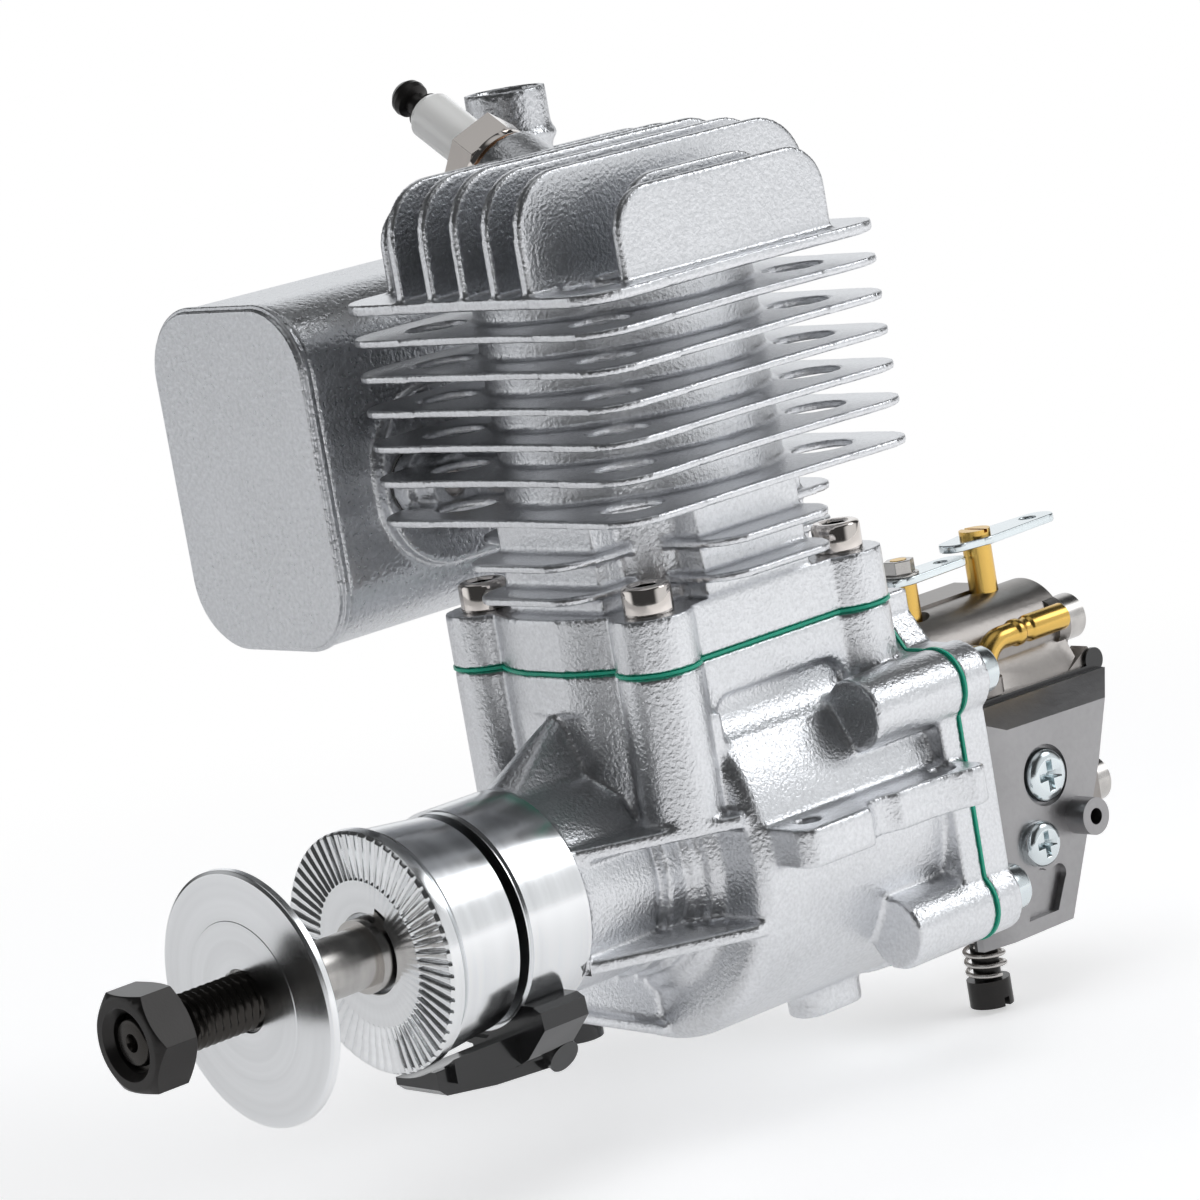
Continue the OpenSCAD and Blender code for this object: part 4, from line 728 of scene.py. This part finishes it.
thread_tree = make_thread_tree()
stud_low, stud_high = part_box("prop_stud")
stud_r = stud_high[2]
THREAD_PITCH = 1.5 * MM
THREAD_DEPTH = 0.85 * MM
END_FLAT = 1.2 * MM
thread_len = stud_high[1] - stud_low[1] - END_FLAT
thread = grown("prop_stud_thread", thread_tree, {
    "Radius": stud_r, "Depth": THREAD_DEPTH, "Pitch": THREAD_PITCH, "Length": thread_len,
    "Centre": (0, (stud_low[1] + stud_high[1] + END_FLAT) / 2, 0), "Material": finishes["blackened_thread"]})
shade(thread, 60)


# %% [markdown]
# The stud's plain end and the heads of the screws are turned shapes, and a turned shape is a stack of rings.
# A ring needs no round outline: a hexagon or a cross is a ring whose reach depends on the angle, so the same
# helper also makes the socket and the recess that a key goes into.


# %% Shapes made of stacked rings
def stacked(name, rings, segments=48, axis="Z", centre=(0, 0, 0), unit=1.0):
    """A closed mesh from rings along an axis, each a pair of its place and its reach.

    The reach is a radius, or a function that gives the radius at an angle.
    """
    bm = bmesh.new()
    rows = []
    for place, reach in rings:
        row = []
        for i in range(segments):
            angle = 2 * math.pi * i / segments
            radius = reach(angle) if callable(reach) else reach
            row.append(bm.verts.new((radius * math.cos(angle) * unit, radius * math.sin(angle) * unit,
                                     place * unit)))
        rows.append(row)
    for low, high in zip(rows, rows[1:]):
        for i in range(segments):
            j = (i + 1) % segments
            bm.faces.new((low[i], low[j], high[j], high[i]))
    for row, place in ((rows[0], rings[0][0]), (rows[-1], rings[-1][0])):
        middle = bm.verts.new((0, 0, place * unit))
        for i in range(segments):
            bm.faces.new((row[i], row[(i + 1) % segments], middle))
    bmesh.ops.recalc_face_normals(bm, faces=bm.faces)
    if axis == "Y":
        bmesh.ops.rotate(bm, verts=bm.verts, cent=(0, 0, 0),
                         matrix=Matrix.Rotation(math.radians(-90), 3, "X"))
    bmesh.ops.translate(bm, verts=bm.verts, vec=centre)
    mesh = bpy.data.meshes.new(name)
    bm.to_mesh(mesh)
    bm.free()
    shade(mesh, 38)
    return mesh


def joined_mesh(name, parts):
    """One mesh from several."""
    bm = bmesh.new()
    for part in parts:
        bm.from_mesh(part)
    mesh = bpy.data.meshes.new(name)
    bm.to_mesh(mesh)
    bm.free()
    return mesh


# %% The stud's plain end, with its centre hole
# Rings in millimetres: the depth behind the stud's tip, and the radius
end_rings = [(0, 3.6), (0.15, 3.85), (1.25, 4.15), (1.6, 4.15)]
hole_rings = [(2.2, 0.9), (0.5, 1.25), (0, 1.55)]
stud_end = stacked("stud_end", hole_rings + end_rings, axis="Y", centre=(0, stud_low[1], 0), unit=MM)
stud_mesh = joined_mesh("prop_stud_cut", [thread, stud_end])
shade(stud_mesh, 55)
add_piece("prop_stud_cut", stud_mesh, "crank", finishes["blackened_thread"],
          ("prop_stud",))
print("stud", triangles(stud_mesh), "triangles")

# %% [markdown]
# The thrust washer is a flat disc in the middle of a very shallow cone. The cone is what gives the two bands
# of light on it, so it is cut into the mesh and not painted. Its crease angle is small, because the cone
# falls away from the disc by only a few degrees.


# %% The washer
washer_low, washer_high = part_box("thrust_washer")
washer_r = washer_high[0] / MM
washer_t = (washer_high[1] - washer_low[1]) / MM
thread_r = stud_r / MM
DISC_R = 13.3
washer_rings = [(washer_t, thread_r + 0.3), (0.2, thread_r + 0.3), (0, thread_r + 0.5), (0, DISC_R),
                (0.1, 13.4), (0.62, washer_r - 0.55), (0.95, washer_r - 0.05), (1.1, washer_r),
                (washer_t - 0.3, washer_r), (washer_t, washer_r - 0.3)]


def turned_ring(name, rings, front, segments=192, crease=3.2):
    """A turned ring round the crankshaft's axis from (depth behind the front, radius) pairs in millimetres.

    Depth and radius may each be a function of the angle, so a groove or a key slot can interrupt the turning.
    """
    bm = bmesh.new()
    rows = []
    for depth, radius in rings:
        row = []
        for i in range(segments):
            angle = 2 * math.pi * i / segments
            out = radius(angle) if callable(radius) else radius
            back_by = depth(angle) if callable(depth) else depth
            row.append(bm.verts.new((out * math.cos(angle) * MM, front + back_by * MM,
                                     out * math.sin(angle) * MM)))
        rows.append(row)
    for low, high in zip(rows, rows[1:] + rows[:1]):
        for i in range(segments):
            j = (i + 1) % segments
            bm.faces.new((low[i], low[j], high[j], high[i]))
    bmesh.ops.recalc_face_normals(bm, faces=bm.faces)
    mesh = bpy.data.meshes.new(name)
    bm.to_mesh(mesh)
    bm.free()
    shade(mesh, crease)
    return mesh


washer = turned_ring("thrust_washer_turned", washer_rings, washer_low[1])
add_piece("thrust_washer_turned", washer, "crank", finishes["turned_aluminium"],
          ("thrust_washer",))
print("washer", triangles(washer), "triangles")

# %% [markdown]
# The driver grips the propeller with V grooves that run outward like rays. They are cut only as deep as the
# ring, so each ray is a dip in the depth of the turned face; the rim behind them stays whole. A deep ring
# round the shaft and the end of the key slot stay dark.

# %% The driver
driver_low, driver_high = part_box("prop_driver")
driver_r = driver_high[0] / MM
driver_len = (driver_high[1] - driver_low[1]) / MM
# Sizes of the driver's face in millimetres, apart from the count and the angle
GROOVES = 60
GROOVE_DEPTH = 0.55
GROOVE_HALF = 0.52
BORE_R = 6.0
RECESS_R = 6.95
SLOT_R = 8.7
SLOT_HALF = 1.15
SLOT_TURN = math.radians(56)


def groove_depth(radius, full=GROOVE_DEPTH):
    """Depth of the grooved face at one radius, as a function of the angle."""
    def depth(angle):
        pitch = 2 * math.pi / GROOVES
        off = abs((angle + pitch / 2) % pitch - pitch / 2) * radius
        return full * max(0.0, 1 - off / GROOVE_HALF)
    return depth


def slotted(angle):
    """Radius of the ring round the shaft, wider where the key slot ends."""
    off = (angle - SLOT_TURN + math.pi) % (2 * math.pi) - math.pi
    return SLOT_R if abs(off) < SLOT_HALF / RECESS_R else RECESS_R


driver_rings = [(driver_len, BORE_R), (3.4, BORE_R), (3.4, slotted), (0.12, slotted),
                (0, lambda angle: slotted(angle) + 0.12), (0, 12.2), (groove_depth(12.5, 0.1), 12.5)]
driver_rings += [(groove_depth(r), r) for r in (12.9, 15.0, 17.5, 19.6)]
driver_rings += [(groove_depth(driver_r - 0.5, 0.5), driver_r - 0.5),
                 (0.52, driver_r - 0.06), (0.75, driver_r), (2.6, driver_r), (2.9, driver_r - 0.3),
                 (2.95, driver_r - 1.8), (3.95, driver_r - 1.8), (4.0, driver_r - 1.1),
                 (4.15, driver_r - 0.9), (driver_len - 0.3, driver_r - 2.2), (driver_len, driver_r - 2.5)]
driver = turned_ring("prop_driver_turned", driver_rings, driver_low[1], segments=GROOVES * 10, crease=28)
print("driver", triangles(driver), "triangles")
add_piece("prop_driver_turned", driver, "crank", finishes["turned_aluminium"],
          ("prop_driver",))


# %% [markdown]
# Two kinds of screw hold the engine together: cap screws with a hexagon socket, and pan heads with a cross.
# Each head is modelled once, in units of its own radius, and Geometry Nodes set it down wherever the frame
# has such a screw. The tree reads each point's own size, so one head serves every diameter.


# %% Heads of screws
def hexagon(across):
    """Reach of a hexagon with this width across its flats."""
    return lambda angle: across / 2 / math.cos((angle + math.pi / 6) % (math.pi / 3) - math.pi / 6)


def cross(length, width):
    """Reach of a four-armed cross."""
    def reach(angle):
        off = (angle + math.pi / 4) % (math.pi / 2) - math.pi / 4
        side = width / 2 / max(abs(math.sin(off)), 1e-6)
        return min(length / math.cos(off), side)
    return reach


def socket_head(name, length, height=1.18, across=0.95):
    """A cap screw in units of its head's radius, its top at zero: shank, head, and a hexagon socket."""
    rings = [(-length, 0.5), (-length + 0.1, 0.58), (-height, 0.58), (-height, 0.95), (-height + 0.05, 1.0),
             (-0.16, 1.0), (-0.06, 0.96), (0, 0.86), (0, across * 0.68), (-0.10, hexagon(across)),
             (-height * 0.62, hexagon(across)), (-height * 0.70, 0.3)]
    return stacked(name, rings)


def pan_head(name, length, height=0.62):
    """A pan-head screw in units of its head's radius, with a tapered cross recess."""
    rings = [(-length, 0.36), (-length + 0.1, 0.44), (-height, 0.44), (-height, 0.97), (-height + 0.06, 1.0),
             (-0.30, 0.99), (-0.16, 0.93), (-0.06, 0.82), (-0.01, 0.68), (0, 0.60),
             (-0.02, cross(0.56, 0.30)), (-0.30, cross(0.40, 0.20)), (-0.50, cross(0.26, 0.14))]
    return stacked(name, rings, segments=96)


# %% Setting screws down
def make_screw_tree():
    """One screw set down at every point, scaled by the point's own size and turned as one family."""
    tree, source, sink = new_tree("screws", [("Screw", "NodeSocketObject", None),
                                             ("Turn", VECTOR, (0, 0, 0)), MATERIAL])
    pick = tree.nodes.new("GeometryNodeObjectInfo")
    size = tree.nodes.new("GeometryNodeInputNamedAttribute")
    size.data_type = "FLOAT"
    size.inputs["Name"].default_value = "head"
    place = tree.nodes.new("GeometryNodeInstanceOnPoints")
    link(tree, source.outputs["Screw"], pick.inputs["Object"])
    link(tree, source.outputs["Geometry"], place.inputs["Points"])
    link(tree, pick.outputs["Geometry"], place.inputs["Instance"])
    link(tree, source.outputs["Turn"], place.inputs["Rotation"])
    link(tree, size.outputs["Attribute"], place.inputs["Scale"])
    finish_tree(tree, source, sink, place.outputs["Instances"])
    return tree


screw_tree = make_screw_tree()


def solids_of(node):
    """The lowest and highest corner of each separate solid of a frame part."""
    bm = bmesh.new()
    bm.from_mesh(nodes[node].data)
    bmesh.ops.remove_doubles(bm, verts=bm.verts, dist=2e-6)
    left = set(bm.verts)
    found = []
    while left:
        stack = [left.pop()]
        group = list(stack)
        while stack:
            for edge in stack.pop().link_edges:
                for vert in edge.verts:
                    if vert in left:
                        left.discard(vert)
                        stack.append(vert)
                        group.append(vert)
        sides = list(zip(*(vert.co for vert in group)))
        found.append(([min(side) for side in sides], [max(side) for side in sides]))
    bm.free()
    return sorted(found)


TURNS = {"+z": (0, 0, 0), "+y": (-math.pi / 2, 0, 0), "+x": (0, math.pi / 2, 0), "-x": (0, -math.pi / 2, 0)}


def set_screws(node, towards, head, finish):
    """Detailed screws in place of the frame's, each at its own solid, heads facing one way."""
    axis = "xyz".index(towards[1])
    across = [i for i in range(3) if i != axis]
    spots = []
    for low, high in solids_of(node):
        spot = [(low[i] + high[i]) / 2 for i in range(3)]
        spot[axis] = high[axis] if towards[0] == "+" else low[axis]
        radius = min(high[i] - low[i] for i in across) / 2
        spots.append((spot, radius, high[axis] - low[axis]))
    seed = bpy.data.meshes.new(node + "_spots")
    seed.from_pydata([spot for spot, radius, length in spots], [], [])
    sizes = seed.attributes.new("head", "FLOAT", "POINT")
    sizes.data.foreach_set("value", [radius for spot, radius, length in spots])
    length = min(length / radius for spot, radius, length in spots)
    pattern = bpy.data.objects.new(node + "_head", head(node + "_head", length))
    bpy.context.scene.collection.objects.link(pattern)
    values = {"Screw": pattern, "Turn": TURNS[towards], "Material": finish}
    mesh = grown(node + "_set", screw_tree, values, seed)
    bpy.data.objects.remove(pattern)
    shade(mesh, 38)
    return add_piece(node + "_set", mesh, body_with[node], finish, (node,))


set_screws("cylinder_screws", "+z", socket_head, finishes["dark_nickel"])
set_screws("rear_cover_screws", "+y", socket_head, finishes["zinc_plate"])
set_screws("side_cover_screws", "+x", pan_head, finishes["zinc_plate"])
set_screws("metering_cover_screws", "-x", pan_head, finishes["zinc_plate"])

# %% [markdown]
# The carburettor has two springs: one holds the idle screw still, and one returns the throttle. A spiral
# curve with a round profile is all that a spring needs, and its turns and wire are inputs of the tree.


# %% Springs
def make_spring_tree():
    """An open coil of round wire, cut square at both ends."""
    tree, source, sink = new_tree("spring", [
        ("Radius", NUMBER, 0.003), ("Wire", NUMBER, 0.0004), ("Turns", NUMBER, 4.0),
        ("Height", NUMBER, 0.006), ("Foot", VECTOR, (0, 0, 0)), MATERIAL])
    coil = tree.nodes.new("GeometryNodeCurveSpiral")
    coil.inputs["Resolution"].default_value = 40
    link(tree, source.outputs["Turns"], coil.inputs["Rotations"])
    link(tree, source.outputs["Radius"], coil.inputs["Start Radius"])
    link(tree, source.outputs["Radius"], coil.inputs["End Radius"])
    link(tree, source.outputs["Height"], coil.inputs["Height"])
    wire = tree.nodes.new("GeometryNodeCurvePrimitiveCircle")
    wire.inputs["Resolution"].default_value = 14
    link(tree, source.outputs["Wire"], wire.inputs["Radius"])
    body = tree.nodes.new("GeometryNodeCurveToMesh")
    body.inputs["Fill Caps"].default_value = True
    link(tree, coil.outputs["Curve"], body.inputs["Curve"])
    link(tree, wire.outputs["Curve"], body.inputs["Profile Curve"])
    lay = tree.nodes.new("GeometryNodeTransform")
    link(tree, body.outputs["Mesh"], lay.inputs["Geometry"])
    link(tree, source.outputs["Foot"], lay.inputs["Translation"])
    finish_tree(tree, source, sink, lay.outputs["Geometry"])
    return tree


spring_tree = make_spring_tree()
# Each spring: how many turns it has, and the radius of its wire in millimetres
for node, turns, wire in (("idle_spring", 3.2, 0.42), ("throttle_spring", 4.0, 0.42)):
    low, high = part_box(node)
    mesh = grown(node + "_coil", spring_tree, {
        "Radius": (high[0] - low[0]) / 2 - wire * MM, "Wire": wire * MM, "Turns": turns,
        "Height": high[2] - low[2] - 2 * wire * MM,
        "Foot": ((low[0] + high[0]) / 2, (low[1] + high[1]) / 2, low[2] + wire * MM),
        "Material": finishes["ground_steel"]})
    shade(mesh, 50)
    add_piece(node + "_coil", mesh, body_with[node], finishes["ground_steel"], (node,))

# %% [markdown]
# The fuel elbow is one tube along a path. Its radius changes on the way: a narrow collar, a neck, and a long
# sleeve that goes into the boss. The tree sweeps a circle along an edge path and scales it at each point.


# %% A tube along a path
def make_tube_tree():
    """A round bar along the seed's edges, as thick at each point as its attribute says."""
    tree, source, sink = new_tree("tube along a path", [("Sides", "NodeSocketInt", 40), MATERIAL])
    path = tree.nodes.new("GeometryNodeMeshToCurve")
    reach = tree.nodes.new("GeometryNodeInputNamedAttribute")
    reach.data_type = "FLOAT"
    reach.inputs["Name"].default_value = "thick"
    ring = tree.nodes.new("GeometryNodeCurvePrimitiveCircle")
    ring.inputs["Radius"].default_value = 1.0
    body = tree.nodes.new("GeometryNodeCurveToMesh")
    body.inputs["Fill Caps"].default_value = True
    link(tree, source.outputs["Geometry"], path.inputs["Mesh"])
    link(tree, source.outputs["Sides"], ring.inputs["Resolution"])
    link(tree, path.outputs["Curve"], body.inputs["Curve"])
    link(tree, ring.outputs["Curve"], body.inputs["Profile Curve"])
    link(tree, reach.outputs["Attribute"], body.inputs["Scale"])
    finish_tree(tree, source, sink, body.outputs["Mesh"])
    return tree


tube_tree = make_tube_tree()
elbow_low, elbow_high = (Vector(corner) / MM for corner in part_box("fuel_elbow"))
# Sizes of the elbow in millimetres
ELBOW_R = 2.1
ELBOW_BEND = 5.0
ELBOW_LEG = 4
ELBOW_STEPS = 12
# Each ring of the sleeve: how far ahead of the bend it lies, and its radius
SLEEVE = ((2.6, 2.1), (2.9, 2.2), (3.1, 2.42), (3.4, 2.5), (4.2, 2.5), (4.5, 2.42), (4.7, 2.2), (5.0, 2.12),
          (6.2, 2.12), (6.5, 2.2), (6.7, 2.4), (7.0, 2.48), (15.9, 2.48))
elbow_x = (elbow_low.x + elbow_high.x) / 2
elbow_y = elbow_low.y + ELBOW_R + ELBOW_BEND
elbow_z = elbow_low.z + ELBOW_LEG + ELBOW_BEND
elbow = [((elbow_x, elbow_y - ELBOW_BEND, elbow_low.z), ELBOW_R),
         ((elbow_x, elbow_y - ELBOW_BEND, elbow_low.z + ELBOW_LEG / 2), ELBOW_R)]
for step in range(ELBOW_STEPS + 1):
    turn = math.pi / 2 * step / ELBOW_STEPS
    behind = elbow_y - ELBOW_BEND * math.cos(turn)
    height = elbow_z - ELBOW_BEND + ELBOW_BEND * math.sin(turn)
    elbow.append(((elbow_x, behind, height), ELBOW_R))
for ahead, thick in SLEEVE:
    elbow.append(((elbow_x, elbow_y + ahead, elbow_z), thick))
seed = bpy.data.meshes.new("elbow_path")
elbow_points = [[part * MM for part in at] for at, thick in elbow]
seed.from_pydata(elbow_points, [(i, i + 1) for i in range(len(elbow) - 1)], [])
thickness = seed.attributes.new("thick", "FLOAT", "POINT")
thickness.data.foreach_set("value", [thick * MM for at, thick in elbow])
elbow_mesh = grown("fuel_elbow_tube", tube_tree, {"Sides": 40, "Material": finishes["brass"]}, seed)
shade(elbow_mesh, 50)
add_piece("fuel_elbow_tube", elbow_mesh, "engine", finishes["brass"], ("fuel_elbow",))
